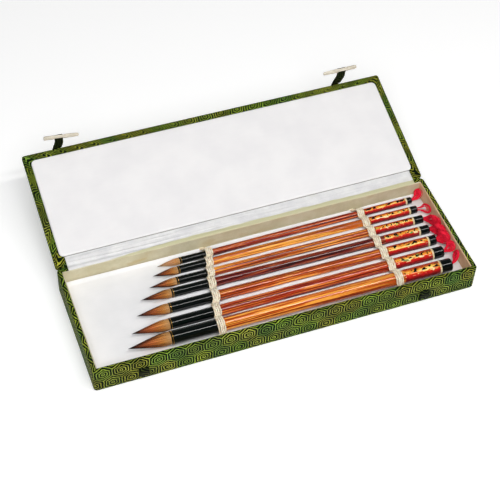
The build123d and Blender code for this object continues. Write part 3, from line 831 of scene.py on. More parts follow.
def make_tray_lining():
    """Cotton on the inside of the walls, with a soft folded top edge."""
    low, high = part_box("tray_lining")
    bounds = (low.x, high.x, low.y, high.y)
    top, low_end = RIM - 0.1 * MM, low.z + 5 * MM
    fold = LINING * 0.62
    profile = [(0.0, RIM - 3.0 * MM), (0.0, top - fold)] + arc((fold, top - fold), fold, 180, 0, 6)
    profile += [(LINING + unevenness((0, 0, z), 5 * MM, 0.2 * MM), z)
                for z in spaced(top - 2 * fold, low_end, 7)]
    lengths = running_length(profile)
    rings = [rounded_ring(bounds, inset, 0.6 * MM + inset * 0.2, 110, 36) for inset, z in profile]
    around = running_length(rings[0][0], closed=True)
    sheet = Sheet()
    rows, places = [], []
    for (inset, z), (ring, outward), down in zip(profile, rings, lengths):
        inside = inset > fold
        row = []
        for (x, y), (nx, ny) in zip(ring, outward):
            slack = unevenness((x, y, z * 0.5), 22 * MM, 0.5 * MM, 4.0)
            slack = -abs(slack + unevenness((x, y, z), 7 * MM, 0.14 * MM)) if inside else 0.0
            dip = abs(unevenness((x, y, 0), 18 * MM, 0.35 * MM, 9.0)) if z > RIM - 2 * MM else 0.0
            lowered = FRONT_LINING_DROP * max(-ny, -nx, 0.0) * (z > RIM - 2.9 * MM or inside)
            lowered *= (z - low_end) / (top - low_end) if inside else 1.0
            row.append((x + nx * slack, y + ny * slack, z - dip - lowered))
        rows.append(row)
        places.append([(u, down) for u in around])
    sheet.add_grid(rows, places, closed=True)
    sheet.slots = [int(min(sheet.points[i].x for i in face) > high.x - 1.5 * MM) for face in sheet.faces]
    cloths = [LINING_COTTON, REFLECTION_AND_SHADE_COTTON]     # the right wall's lining is the second, a copy tinted with a painted reflection of the red silk loops and a little painted shade
    return sheet.build("tray_lining_cotton", cloths, "tray", "lining", ["tray_lining"])


def pillow(bounds, corner, low, high, edge, height_at, long_steps, short_steps):
    """A padded board: flat below, its edges rolled over, its top at high plus what height_at gives."""
    x0, x1, y0, y1 = bounds
    near = [0.0, 0.04, 0.14, 0.3, 0.5, 0.75, 1.0, 1.5, 2.4]     # stations beside an edge, in its widths

    def stations(start, end, steps):
        side = [start + edge * n for n in near]
        other = [end - edge * n for n in reversed(near)]
        return side + spaced(side[-1], other[0], steps)[1:-1] + other

    xs, ys = stations(x0, x1, long_steps), stations(y0, y1, short_steps)
    sheet = Sheet()
    rows, places = [], []
    for y in ys:
        row = []
        for x in xs:
            px, py, inward = pulled_into_corner(x, y, bounds, corner)
            roll = min(inward / edge, 1.0)
            top = low + (high - low) * math.sqrt(max(0.0, 1 - (1 - roll) ** 2))
            row.append((px, py, top + height_at(px, py) * roll))
        rows.append(row)
        places.append([(x, y) for x in xs])
    sheet.close_below(sheet.add_grid(rows, places), lambda z: z - 0.2 * MM)
    return sheet


def pulled_into_corner(x, y, bounds, corner):
    """A point of a rectangle moved in so that the corner is round, and how far it is from the edge."""
    x0, x1, y0, y1 = bounds
    reach_x = corner - min(x - x0, x1 - x)
    reach_y = corner - min(y - y0, y1 - y)
    if reach_x <= 0 or reach_y <= 0:
        return x, y, min(x - x0, x1 - x, y - y0, y1 - y)
    cx = x0 + corner if x < (x0 + x1) / 2 else x1 - corner
    cy = y0 + corner if y < (y0 + y1) / 2 else y1 - corner
    far = math.hypot(x - cx, y - cy)
    square = max(reach_x, reach_y)
    share = square / far
    return cx + (x - cx) * share, cy + (y - cy) * share, corner - square


def smooth_step(value, low, high):
    share = min(max((value - low) / (high - low), 0.0), 1.0)
    return share * share * (3 - 2 * share)


def resting_brushes():
    """For each brush: where its cap ends, its line's slope, its widest radius and where its hair begins."""
    resting = []
    for number in BRUSHES:
        place, sizes = brush_place(number), brush_sizes(number)
        run = place.to_3x3() @ Vector((1, 0, 0))
        widest = max(sizes["ferrule_radius"], sizes["shaft_radius"])
        resting.append((place.translation, run.y / run.x, widest, place.translation.x + sizes["mouth"]))
    return resting


def ridge_between(x, y, back, front, strings):
    """How high the wadding stands at a point between two brushes that lie in it."""
    back_y, front_y = (row[0].y + (x - row[0].x) * row[1] for row in (back, front))
    edge_high, edge_low = back_y - back[2], front_y + front[2]
    half = (edge_high - edge_low) / 2 + BED_RIDGE_TUCK * min(back[2], front[2])
    across = abs(y - (edge_high + edge_low) / 2) / half
    if across >= 1:
        return 0.0
    height = BED_RIDGE * (min(back[0].z, front[0].z) - FLOOR) * (1 - across ** 2.6)
    height *= smooth_step(x, max(back[3], front[3]) - 22 * MM, max(back[3], front[3]) + 2 * MM)
    height *= 1 - smooth_step(x, back[0].x - 1 * MM, back[0].x + 5 * MM)
    for string in strings:
        height *= 1 - 0.22 * math.exp(-((x - string) / (6 * MM)) ** 2)
    return height * (1 + unevenness((x, back_y, 0), 30 * MM, 0.14))


def below_brushes(x, y, rows):
    """The height above the bed's floor that the brushes leave free at a point, without limit beside them."""
    free = math.inf
    for middle, slope, radius, _ in rows:
        aside = abs(y - middle.y - (x - middle.x) * slope)
        round_brush = radius + 0.3 * MM
        if aside < round_brush:
            free = min(free, middle.z - math.sqrt(round_brush ** 2 - aside ** 2) - FLOOR)
    return free


def make_bed():
    """The satin bed, which stands up between the brushes and is pressed down where the strings cross it."""
    low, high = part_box("bed_pad")
    bounds = (low.x, high.x, low.y, high.y)
    lines = [string_crossings(name) for name in ("string_left", "string_right")]
    strings = [sum(crossing[0] for crossing in line) / len(line) for line in lines]
    rows = resting_brushes()

    def height_at(x, y):
        pressed = 0.0
        for crossings in lines:
            over = min((abs(x - there[0]) for there in crossings if abs(y - there[1]) < STRING_REACH),
                       default=1.0)
            pressed = max(pressed, math.exp(-(over / (7 * MM)) ** 2))
        swell = BED_SWELL * smooth_step(y - high.y + BED_SWELL_REACH, 0.0, BED_SWELL_REACH)
        swell += BED_SWELL_FRONT * smooth_step(low.y + BED_SWELL_REACH - y, 0.0, BED_SWELL_REACH)
        flat = unevenness((x, y, 0), 30 * MM, 0.25 * MM) - 0.2 * MM - 0.5 * MM * pressed
        ridge = max(ridge_between(x, y, back, front, strings) for back, front in zip(rows, rows[1:]))
        return min(flat + max(swell, ridge), below_brushes(x, y, rows))

    sheet = pillow(bounds, 1.5 * MM, low.z, high.z, 1.0 * MM, height_at, 150, 230)
    bed = sheet.build("satin_bed", [BED_SATIN], "tray", "white_silk", ["bed_pad"])
    return bed


def make_boards():
    for name in ("tray_base", "tray_wall_front", "tray_wall_back", "tray_wall_left", "tray_wall_right",
                 "bed_block", "lid_board"):
        frame["nodes"][name].data.materials[0] = BOARD
    frame["nodes"]["bottom_paper"].data.materials[0] = UNDER_PAPER


# ---- brushes ----

def lathe(profile, segments, ripple=None):
    """A turned solid about X from (station, radius) pairs, with a flat end where the radius isn't nothing."""
    sheet = Sheet()
    lengths = running_length(profile)
    widest = max(radius for _, radius in profile)
    rows, places = [], []
    for (x, radius), down in zip(profile, lengths):
        row = []
        for k in range(segments):
            angle = 2 * math.pi * k / segments
            r = radius * (1 + (ripple(x, angle) if ripple else 0.0))
            row.append((x, r * math.cos(angle), r * math.sin(angle)))
        rows.append(row)
        places.append([(2 * math.pi * widest * k / segments, down) for k in range(segments + 1)])
    index = sheet.add_grid(rows, places, closed=True)
    for end in (0, -1):
        if profile[end][1] > 1e-6:
            sheet.add_end(index[end])
    return sheet


def turned_piece(number, name, profile, material, slot, place, solid=None):
    """One turned piece of a brush, in place of its solid where it has one."""
    body = f"brush_{number}"
    replaced = [f"{body}_{solid}"] if solid else ()
    lathe(profile, TURNED_SIDES).build(f"{body}_{name}", [material], body, slot, replaced, place)


def tuft_radius(sizes, share):
    """The tuft swells a little from its root and narrows to a long fine point."""
    swell = 1.0 + 0.05 * math.sin(math.pi * min(share / 0.4, 1.0))
    point = max(1 - share ** TUFT_FULLNESS, 0.0) ** TUFT_POINT
    return 0.92 * sizes["ferrule_radius"] * swell * point


def make_tuft(number, sizes, place):
    length = sizes["mouth"] - sizes["tip"]

    def ripple(x, angle):
        share = (x - sizes["tip"]) / length
        locks = noise.noise(Vector((math.cos(angle) * 2.2, math.sin(angle) * 2.2, number * 3.0 + x * 20)))
        hairs = noise.noise(Vector((math.cos(angle) * 14, math.sin(angle) * 14, number + x * 45)))
        return (0.05 * locks + 0.03 * hairs) * min(1.0, 3 * (1.02 - share))

    shares = [1.0, 0.985, 0.96, 0.93] + spaced(0.89, 0.1, 20) + [0.06, 0.03, 0.0]
    profile = [(sizes["mouth"] - s * length, tuft_radius(sizes, s)) for s in shares]
    profile += [(sizes["mouth"] + 1.5 * MM, 0.86 * sizes["ferrule_radius"])]
    sheet, body = lathe(profile, 72, ripple=ripple), f"brush_{number}"
    return sheet.build(f"{body}_tuft", [hair_finish(length)], body, "hair", [f"{body}_hair"], place)


def make_loose_hairs(number, sizes, place):
    """Single fine hairs that lie along the tuft.

    They take the hair finish made before their own tuft's: the first brush's are the solids' plain brown.
    """
    length = sizes["mouth"] - sizes["tip"]
    rng = random.Random(number)
    sheet = Sheet()
    for _ in range(90):
        angle = rng.uniform(0, 2 * math.pi)
        start, end = rng.uniform(0.0, 0.25), rng.uniform(0.7, 0.99)
        lift = rng.uniform(1.0, 1.035)
        drift = rng.uniform(-0.25, 0.25)
        line = []
        for share in spaced(start, end, 9):
            r = tuft_radius(sizes, share) * lift + 0.02 * MM
            turned = angle + drift * share
            line.append(Vector((sizes["mouth"] - share * length, r * math.cos(turned), r * math.sin(turned))))
        add_thread(sheet, line, 0.05 * MM, 4, taper=True)
    hair = bpy.data.materials["hair" if number == 1 else f"hair.{number - 1:03d}"]
    return sheet.build(f"brush_{number}_hairs", [hair], f"brush_{number}", "hair", (), place)


def make_ferrule(number, sizes, place):
    """Polished black horn, a little waisted, with a bead at the mouth."""
    a, b, r = sizes["mouth"], sizes["ferrule_end"], sizes["ferrule_radius"]
    lip = 0.5 * MM
    profile = [(a + 2.2 * MM, 0.8 * r), (a + 0.3 * MM, 0.86 * r), (a, 0.93 * r)]
    profile += [(a + x, 0.965 * r + y) for x, y in arc((lip, 0), lip * 0.6, 160, 20, 4)]
    groove = a + 2.2 * lip
    profile += [(groove, 0.95 * r), (groove + 0.3 * MM, 0.94 * r), (groove + 0.8 * MM, 0.985 * r)]
    profile += [(x, r * (0.985 - 0.02 * math.sin(math.pi * (x - a) / (b - a))))
                for x in spaced(groove + 1.4 * MM, b - 1.0 * MM, 12)]
    profile += [(b - 0.4 * MM, 0.985 * r), (b - 0.1 * MM, 0.955 * r), (b, 0.9 * r)]
    turned_piece(number, "horn", profile, HORN, "black_horn", place, "ferrule")
    ring = [(groove + 0.05 * MM, 0.90 * r), (groove + 0.1 * MM, 0.985 * r), (groove + 0.35 * MM, 1.0 * r),
            (groove + 0.6 * MM, 0.985 * r), (groove + 0.65 * MM, 0.90 * r)]
    turned_piece(number, "gilt_ring", ring, GILT, "black_horn", place)


LACQUERS = [
    (srgb(84, 14, 10), srgb(150, 36, 20), srgb(206, 104, 46)),
    (srgb(130, 38, 8), srgb(204, 96, 20), srgb(240, 172, 66)),
    (srgb(116, 28, 8), srgb(194, 78, 20), srgb(236, 160, 62)),
    (srgb(48, 8, 10), srgb(112, 22, 16), srgb(182, 88, 44)),
    (srgb(116, 28, 8), srgb(196, 80, 20), srgb(234, 156, 58)),
    (srgb(108, 20, 8), srgb(178, 48, 18), srgb(224, 134, 52)),
    (srgb(126, 34, 8), srgb(202, 84, 20), srgb(240, 164, 62)),
]
SLEEVE_LEAVES = [srgb(228, 178, 60), srgb(214, 196, 90), srgb(176, 186, 70), srgb(66, 150, 60),
                 srgb(238, 196, 96), srgb(120, 138, 60), srgb(240, 190, 60)]
SLEEVE_STARTS = [1.0, 1.5, 1.0, 4.5, 1.5, 1.5, 2.5]     # millimetres to the right of the string


def make_handle(number, sizes, place):
    a, b, r = sizes["ferrule_end"], sizes["cap"], sizes["shaft_radius"]
    profile = [(a - 2 * MM, 0.6 * r), (a, 0.9 * r), (a + 0.4 * MM, r)]
    profile += [(x, r * (1 + 0.006 * math.sin(x * 55 + number))) for x in spaced(a + 3 * MM, b - 2 * MM, 40)]
    profile += [(b - 0.4 * MM, r), (b, 0.93 * r), (b + 0.5 * MM, 0.6 * r)]
    dark, middle, gold = LACQUERS[number - 1]
    lacquer = lacquer_finish(f"lacquer_{number}", dark, middle, gold, 0.37 * number)
    turned_piece(number, "handle", profile, lacquer, "lacquered_wood", place, "shaft")
    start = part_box("string_right")[1].x + SLEEVE_STARTS[number - 1] * MM - place.translation.x
    end = b - 1.5 * MM
    grown = r + 0.12 * MM
    sleeve = [(start, r * 0.9), (start, grown - 0.05 * MM)]
    sleeve += [(x, grown) for x in spaced(start + 0.15 * MM, end, 10)] + [(end + 0.1 * MM, r * 0.9)]
    printed = sleeve_finish(f"sleeve_{number}", grown, 0.037 * number, SLEEVE_LEAVES[number - 1], start)
    turned_piece(number, "sleeve", sleeve, printed, "lacquered_wood", place)


def make_cap(number, sizes, place):
    """A pale collar and a polished black end with a bead that the hanging loop comes out of."""
    b, r = sizes["cap"], sizes["shaft_radius"]
    collar = [(b - 1.6 * MM, 0.85 * r), (b - 1.55 * MM, r + 0.1 * MM)]
    collar += [(b - 0.8 * MM + x, r + 0.1 * MM + 0.2 * y) for x, y in arc((0, 0), 0.7 * MM, 150, 30, 5)]
    collar += [(b, r + 0.08 * MM), (b + 0.05 * MM, 0.85 * r)]
    turned_piece(number, "collar", collar, IVORY, "black_horn", place)
    dome = 0.2 * r
    end = [(b, 0.8 * r), (b + 0.02 * MM, 0.97 * r), (b + 0.4 * MM, r)]
    end += [(x, r) for x in spaced(b + 1.0 * MM, -dome - 0.3 * MM, 6)]
    end += arc((-dome, 0.8 * r), dome, 75, 0, 5) + [(0.0, 0.35 * r), (0.0, 0.0)]
    turned_piece(number, "end", end, HORN, "black_horn", place, "cap")


def loop_route(number):
    lean = math.radians(LOOP_LEANS[number - 1])
    furthest = max(out for out, _, _ in LOOP_ROUTE)
    points = []
    for out, up, across in LOOP_ROUTE:
        height = up * LOOP_RISES[number - 1]
        swept = LOOP_SWEEPS[number - 1] * (out / furthest) ** 1.6
        points.append(Vector((out, height * math.sin(lean) + across * math.cos(lean) - swept,
                              height * math.cos(lean) - across * math.sin(lean))) * MM)
    return points


def smooth_line(points, steps=14):
    """Evenly spaced points on the smooth curve that a route controls."""
    curve = bpy.data.curves.new("route", "CURVE")
    curve.dimensions = "3D"
    spline = curve.splines.new("NURBS")
    spline.points.add(len(points) - 1)
    for control, point in zip(spline.points, points):
        control.co = (*point, 1.0)
    spline.order_u = 3
    spline.use_endpoint_u = True
    spline.resolution_u = steps
    holder = add_object("route", curve)
    bpy.context.view_layer.update()
    mesh = bpy.data.meshes.new_from_object(holder.evaluated_get(bpy.context.evaluated_depsgraph_get()))
    line = [v.co.copy() for v in mesh.vertices]
    bpy.data.objects.remove(holder)
    bpy.data.curves.remove(curve)
    bpy.data.meshes.remove(mesh)
    return line


def smooth_profile(corners, steps):
    """The smooth curve of a route given as (Y, Z) pairs, as such pairs."""
    return [(p.y, p.z) for p in smooth_line([(0, y, z) for y, z in corners], steps)]


def line_frames(line):
    """A side and a rise direction at each point of a line, carried along it without twisting."""
    frames, side = [], None
    for k in range(len(line)):
        ahead = (line[min(k + 1, len(line) - 1)] - line[max(k - 1, 0)]).normalized()
        if side is None:
            side = ahead.orthogonal().normalized()
        side = (side - ahead * side.dot(ahead)).normalized()
        frames.append((side, ahead.cross(side)))
    return frames


def add_thread(sheet, line, radius, sides, taper=False, slot=0):
    """A round thread along a line, laid out along it and round it."""
    lengths = running_length(line)
    rows, places = [], []
    for k, (point, (side, rise)) in enumerate(zip(line, line_frames(line))):
        r = radius * (0.35 + 0.65 * math.sin(math.pi * (k + 0.5) / len(line))) if taper else radius
        angles = [2 * math.pi * a / sides for a in range(sides)]
        rows.append([point + side * r * math.cos(a) + rise * r * math.sin(a) for a in angles])
        places.append([(lengths[k], 2 * math.pi * radius * a / sides) for a in range(sides + 1)])
    index = sheet.add_grid(rows, places, closed=True, slot=slot)
    for ring in (index[0], index[-1]):
        sheet.add_face(list(ring), [(0.0, 0.0)] * sides, slot)


def add_twisted(sheet, line, diameter, strands, pitch, slots=(0,), phase=0.0):
    """Strands wound round a line to make a cord of that diameter."""
    strand = diameter * 0.27
    lengths = running_length(line)
    frames = line_frames(line)
    for s in range(strands):
        wound = []
        for point, (side, rise), length in zip(line, frames, lengths):
            angle = phase + 2 * math.pi * (s / strands + length / pitch)
            wound.append(point + (side * math.cos(angle) + rise * math.sin(angle)) * (diameter / 2 - strand))
        add_thread(sheet, wound, strand, 6, slot=slots[s % len(slots)])


def make_hanging_loop(number, place):
    line = smooth_line(loop_route(number))
    sheet = Sheet()
    add_twisted(sheet, line, LOOP_CORD, 3, 3.2 * MM)
    body = f"brush_{number}"
    loop = sheet.build(f"{body}_red_loop", [RED_SILK], body, "red_cord", [f"{body}_loop"], place)
    floss = make_floss(number, line, place)
    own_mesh(loop)
    running_length(line)[-1]


def make_floss(number, line, place):
    """Fine loose threads of the loop's silk, which spread out beside it and across its eye."""
    rng = random.Random(40 + number)
    frames, lengths = line_frames(line), running_length(line)
    middle = sum(line, Vector()) / len(line)
    lowest = FLOOR + 0.3 * MM - place.translation.z
    highest = RIM - UNDER_LID - place.translation.z
    sheet = Sheet()
    for _ in range(FLOSS_THREADS[number - 1]):
        aside, above, swing = rng.uniform(-1, 1), rng.uniform(-1, 1), rng.uniform(0, 6)
        inward = rng.uniform(0.0, 0.85)
        thread = []
        for point, (side, rise), length in zip(line, frames, lengths):
            share = length / lengths[-1]
            spread = FLOSS_SPREADS[number - 1] * MM * math.sin(math.pi * share) ** 0.6
            wave = 0.3 * math.sin(swing + 9 * share)
            drawn_in = point.lerp(middle, inward * math.sin(math.pi * share))
            loose = drawn_in + side * spread * (aside + wave) + rise * spread * (above - wave) * 0.6
            loose.z = min(max(loose.z, lowest), highest)
            thread.append(loose)
        add_thread(sheet, thread, 0.2 * MM, 5)
    body = f"brush_{number}"
    floss = sheet.build(f"{body}_red_floss", [RED_SILK], body, "red_cord", (), place)
    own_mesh(floss)
    return floss


def make_brush(number):
    place, sizes = brush_place(number), brush_sizes(number)
    make_tuft(number, sizes, place)
    make_loose_hairs(number, sizes, place)
    make_ferrule(number, sizes, place)
    make_handle(number, sizes, place)
    make_cap(number, sizes, place)
    make_hanging_loop(number, place)


# ---- strings ----

def string_crossings(name):
    """Where a string crosses each brush: X, Y, the brush's height and the radius there."""
    low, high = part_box(name)
    crossings = []
    for number in BRUSHES:
        place, sizes = brush_place(number), brush_sizes(number)
        middle = (low.x + high.x) / 2 - place.translation.x
        station = sizes["ferrule_end"] if name == "string_left" else middle
        point = place @ Vector((station, 0, 0))
        crossings.append((point.x, point.y, point.z, max(sizes["ferrule_radius"], sizes["shaft_radius"])))
    return crossings


def string_line(crossings, lift):
    """The line of a string from the back lining to the front one, over the brushes and slack between them."""
    inside = tray_high.y - WALL_TO_LINING - LINING
    first, last = crossings[0], crossings[-1]
    low = FLOOR + lift
    back_tail = Vector((STRING_TAIL, 0, 0))
    points = [Vector((first[0], inside + 0.3 * MM, low)) - back_tail,
              Vector((first[0], inside - 1.6 * MM, low + 0.4 * MM)) - back_tail * 0.7]
    for number, (x, y, z, radius) in enumerate(crossings):
        over = radius + STRING_GAP + lift + 0.1 * MM
        start = 12 if number == 0 else 34
        finish = 168 if number + 1 == len(crossings) else 146
        points += [Vector((x, *point)) for point in arc((y, z), over, start, finish, 5)]
        if number + 1 < len(crossings):
            ahead = crossings[number + 1]
            gap_y = ((y - radius) + (ahead[1] + ahead[3])) / 2
            waist = (z + ahead[2]) / 2 + 0.1 * (radius + ahead[3])
            points.append(Vector(((x + ahead[0]) / 2, gap_y, max(waist, low))))
    points.append(Vector((last[0], -inside + 1.4 * MM, low + 0.3 * MM)))
    points.append(Vector((last[0], -inside - 0.3 * MM, low)))
    return smooth_line(points, 8)


def make_string(name):
    """Twisted cords side by side, which crowd together where they dip between the brushes."""
    crossings = string_crossings(name)
    low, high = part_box("string_right")      # the left one lies aslant, so its box is wider than it is
    cord = (high.x - low.x) / STRING_CORDS
    middle = string_line(crossings, 0.42 * cord)
    tops = max(crossing[2] + crossing[3] for crossing in crossings)
    sheet = Sheet()
    for k in range(STRING_CORDS):
        shift = (k - (STRING_CORDS - 1) / 2) * cord
        line = []
        for point in middle:
            height = min(max((point.z - FLOOR) / (tops - FLOOR), 0.0), 1.0)
            at_wall = min(1.0, (tray_high.y - WALL_TO_LINING - abs(point.y)) / (5 * MM))
            spread = (0.96 + 0.06 * height ** 0.7) * (0.5 + 0.5 * max(at_wall, 0.0))
            wander = unevenness((k * 0.05, point.y, 0), 9 * MM, 0.25 * MM, 2.0 + k)
            line.append(point + Vector((shift * spread + wander, 0, 0)))
        pitch = 5.2 * MM * (1 if k % 2 else -1)
        yarns = (0, (k + 1) % 3, 0 if k % 2 else 2)
        add_twisted(sheet, line, cord * 0.98, 3, pitch, slots=yarns, phase=k * 1.3)
    return sheet.build(f"{name}_woven", YARNS, "tray", "string", [name])


# ---- lid ----

def make_lid_cover():
    """Brocade round the lid's board, from the pad's edge on the inside to the whole of the outside."""
    low, high = closed_box("lid_cover")
    pad_low, pad_high = closed_box("lid_pad")
    bounds = (low.x, high.x, low.y, high.y)
    window = (pad_low.x, pad_high.x, pad_low.y, pad_high.y)
    r, quarter = EDGE_ROUND, 1.57 * EDGE_ROUND
    outer, outward = rounded_ring(bounds, 0.0, LID_CORNER, 96, 32)
    inner, _ = rounded_ring(window, 0.15 * MM, PAD_CORNER, 96, 32)
    rows, places = [], []

    def inset_ring(inset):
        return rounded_ring(bounds, inset, max(LID_CORNER - inset, 0.4 * MM), 96, 32)[0]

    def add(ring, z, beyond, swell=0.0):
        row, flat = [], []
        for (x, y), (ox, oy), (nx, ny) in zip(ring, outer, outward):
            wave = unevenness((x, y, z), 16 * MM, 0.14 * MM) * swell
            row.append((x + nx * wave, y + ny * wave, z))
            flat.append((ox + nx * beyond, oy + ny * beyond))
        rows.append(row)
        places.append(flat + [flat[0]])

    border = 6 * MM
    add(inner, low.z + 0.45 * MM, -border - 0.4 * MM)
    add(inner, low.z + 0.1 * MM, -border)
    for share in (0.08, 0.3, 0.6, 0.85):
        ring = [(a[0] + (b[0] - a[0]) * share, a[1] + (b[1] - a[1]) * share)
                for a, b in zip(inner, inset_ring(r))]
        add(ring, low.z, -border * (1 - share))
    turns = [math.radians(angle) for angle in spaced(0, 90, 4)]
    for a in turns:
        add(inset_ring(r * (1 - math.sin(a))), low.z + r * (1 - math.cos(a)), r * a, 0.4)
    side = high.z - low.z - 2 * r
    for share in (0.3, 0.7):
        add(outer, low.z + r + side * share, quarter + side * share, 1.0)
    for a in turns:
        add(inset_ring(r * (1 - math.cos(a))), high.z - r * (1 - math.sin(a)), quarter + side + r * a, 0.4)
    for inset in (4 * MM, 12 * MM, 26 * MM, 40 * MM, 52 * MM):
        add(inset_ring(inset), high.z, 2 * quarter + side + inset)
    sheet = Sheet()
    index = sheet.add_grid(rows, places, closed=True)
    for corner_places, face in zip(sheet.places, sheet.faces):
        points = [sheet.points[i] for i in face]
        if min(p.z for p in points) > high.z - 0.02 * MM:
            corner_places[:] = [(p.x, -p.y) for p in points]
    sheet.add_end(index[-1])
    return sheet.build("lid_brocade", [BROCADE], "lid", "brocade", ["lid_cover"], LID_OPEN)


def make_lid_pad():
    """Satin over wadding on the inside of the lid, made upside down and turned in place."""
    low, high = closed_box("lid_pad")
    bounds = (low.x, high.x, -high.y, -low.y)

    def height_at(x, y):
        pucker = 0.12 * MM * math.sin(x * 900 + 6 * noise.noise(Vector((x * 40, y * 40, 0))))
        near_edge = max(0.0, 1 - min(y - bounds[2], bounds[3] - y) / (7 * MM))
        return unevenness((x, y, 0), 45 * MM, 0.35 * MM, 7.0) - 0.2 * MM + pucker * near_edge ** 2

    board = closed_box("lid_board")[0].z
    sheet = pillow(bounds, PAD_CORNER, -board, -low.z, 1.5 * MM, height_at, 110, 40)
    upright = LID_OPEN @ Matrix.Rotation(math.pi, 4, "X")
    pad = sheet.build("lid_satin_pad", [SATIN], "lid", "white_silk", ["lid_pad"], upright)
    return pad


def make_label():
    low, high = closed_box("lid_label")
    length, width = high.x - low.x, high.y - low.y
    middle = (low + high) / 2
    sheet = Sheet()
    xs, ys = spaced(-length / 2, length / 2, 30), spaced(-width / 2, width / 2, 8)

    def row(y, z):
        return [(middle.x + x, middle.y + y, z + abs(unevenness((x, y, 0), 20 * MM, 0.1 * MM))) for x in xs]

    top = sheet.add_grid([row(y, high.z - 0.05 * MM) for y in ys], [[(x, y) for x in xs] for y in ys])
    sheet.close_below(top, lambda z: low.z - 0.1 * MM, middle)
    paper = label_finish(length, width)
    return sheet.build("lid_paper_label", [paper], "lid", "paper", ["lid_label"], LID_OPEN)


# ---- cloth hinge ----

def ribbon(line, width_low, width_high, thickness, across, crumple):
    """A band of cloth: a line in Y and Z drawn out along X, with a back face at its thickness."""
    lengths = running_length(line)
    xs = spaced(width_low, width_high, across)
    fronts, backs, places = [], [], []
    for k, (y, z) in enumerate(line):
        before, after = line[max(k - 1, 0)], line[min(k + 1, len(line) - 1)]
        run = Vector((after[0] - before[0], after[1] - before[1])).normalized()
        normal = Vector((-run.y, run.x))
        front, back = [], []
        for x in xs:
            lift = crumple(x, lengths[k], lengths[-1])
            front.append((x, y + normal.x * lift, z + normal.y * lift))
            back.append((x, y + normal.x * (lift - thickness), z + normal.y * (lift - thickness)))
        fronts.append(front)
        backs.append(back)
        places.append([(x, lengths[k]) for x in xs])
    sheet = Sheet()
    top = sheet.add_grid(fronts, places)
    under = sheet.add_grid(backs, places)
    for rows in ((top[0], under[0]), (top[-1], under[-1]), ([r[0] for r in top], [r[0] for r in under]),
                 ([r[-1] for r in top], [r[-1] for r in under])):
        for i in range(len(rows[0]) - 1):
            corners = [rows[0][i], rows[0][i + 1], rows[1][i + 1], rows[1][i]]
            sheet.add_face(corners, [(sheet.points[c].x, sheet.points[c].z) for c in corners])
    return sheet


def make_hinge_lining():
    """The white strip that joins the back lining to the lid, wrinkled along the fold."""
    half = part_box("hinge_lining")[1].x
    edge = tray_high.y
    inner = LID_OPEN @ Vector((0, edge, closed_box("lid_cover")[0].z))
    pad_edge = LID_OPEN @ Vector((0, closed_box("lid_pad")[1].y, closed_box("lid_cover")[0].z))
    lining = edge - WALL_TO_LINING - LINING
    corners = [(lining, RIM - 0.5 * MM), (lining + 0.4 * MM, RIM + 0.32 * MM),
               (edge - 0.4 * MM, RIM + 0.35 * MM)]
    corners += [(inner.y * (1 - t) + pad_edge.y * t, inner.z * (1 - t) + pad_edge.z * t + 0.4 * MM)
                for t in (0.06, 0.3, 0.55, 0.8, 1.0)]
    line = smooth_profile(corners, 6)

    def crumple(x, along, total):
        """Long creases beside the fold, sharpest towards the left end."""
        share = along / total
        bend = 3 * MM * noise.noise(Vector((x * 14, 0.3, 0)))
        crease = 1 - 2.4 * abs(noise.noise(Vector((x * 9, (along + bend) / (3.4 * MM), 1.7))))
        second = 1 - 2.4 * abs(noise.noise(Vector((x * 15, (along - bend) / (1.9 * MM), 8.1))))
        fades = math.sin(math.pi * min(max(share, 0.0), 1.0)) ** 0.6
        left = 0.45 + 0.55 * min(1.0, max(0.0, (0.03 - x) / 0.12))
        return (0.55 * crease + 0.22 * second) * MM * fades * left

    sheet = ribbon(line, -half, half, 0.3 * MM, 150, crumple)
    strip = sheet.build("hinge_cotton_strip", [STRIP_COTTON], None, "white_cotton", ["hinge_lining"])
    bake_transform(strip)
    running_length(line)[-1]
    return strip


def make_hinge_cloth():
    """The brocade strip outside the hinge, down the back wall and over the lid's back edge."""
    low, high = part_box("hinge_cloth")
    edge = tray_high.y
    inner, outer = (LID_OPEN @ Vector((0, edge, corner.z)) for corner in closed_box("lid_cover"))
    corners = [(edge + 0.1 * MM, low.z), (edge + 0.2 * MM, RIM - 3 * MM), (edge + 0.2 * MM, RIM - 0.6 * MM),
               ((edge + inner.y) / 2, RIM - 0.2 * MM), (inner.y - 0.2 * MM, inner.z - 0.7 * MM),
               (inner.y * 0.6 + outer.y * 0.4 - 0.25 * MM, inner.z * 0.6 + outer.z * 0.4),
               (outer.y - 0.2 * MM, outer.z + 0.4 * MM)]
    sheet = ribbon(smooth_profile(corners, 5), low.x, high.x, 0.3 * MM, 90,
                   lambda x, along, total: unevenness((x, along, 0), 8 * MM, 0.1 * MM))
    cloth = sheet.build("hinge_brocade", [BROCADE], None, "brocade", ["hinge_cloth"])
    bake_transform(cloth)
    return cloth


# ---- closures ----

def strap_frame(side):
    """A strap's fold line and its toggle's bar, both for the lid as it lies shut, and how the bar runs."""
    shut = LID_OPEN.inverted()
    turn = joint(f"{side}_toggle_turn")
    fold = shut @ Vector(joint(f"{side}_strap_fold")["pos_m"])
    bar = shut @ Vector(turn["pos_m"])
    return fold, bar, (shut.to_3x3() @ Vector(turn["axis"])).normalized()


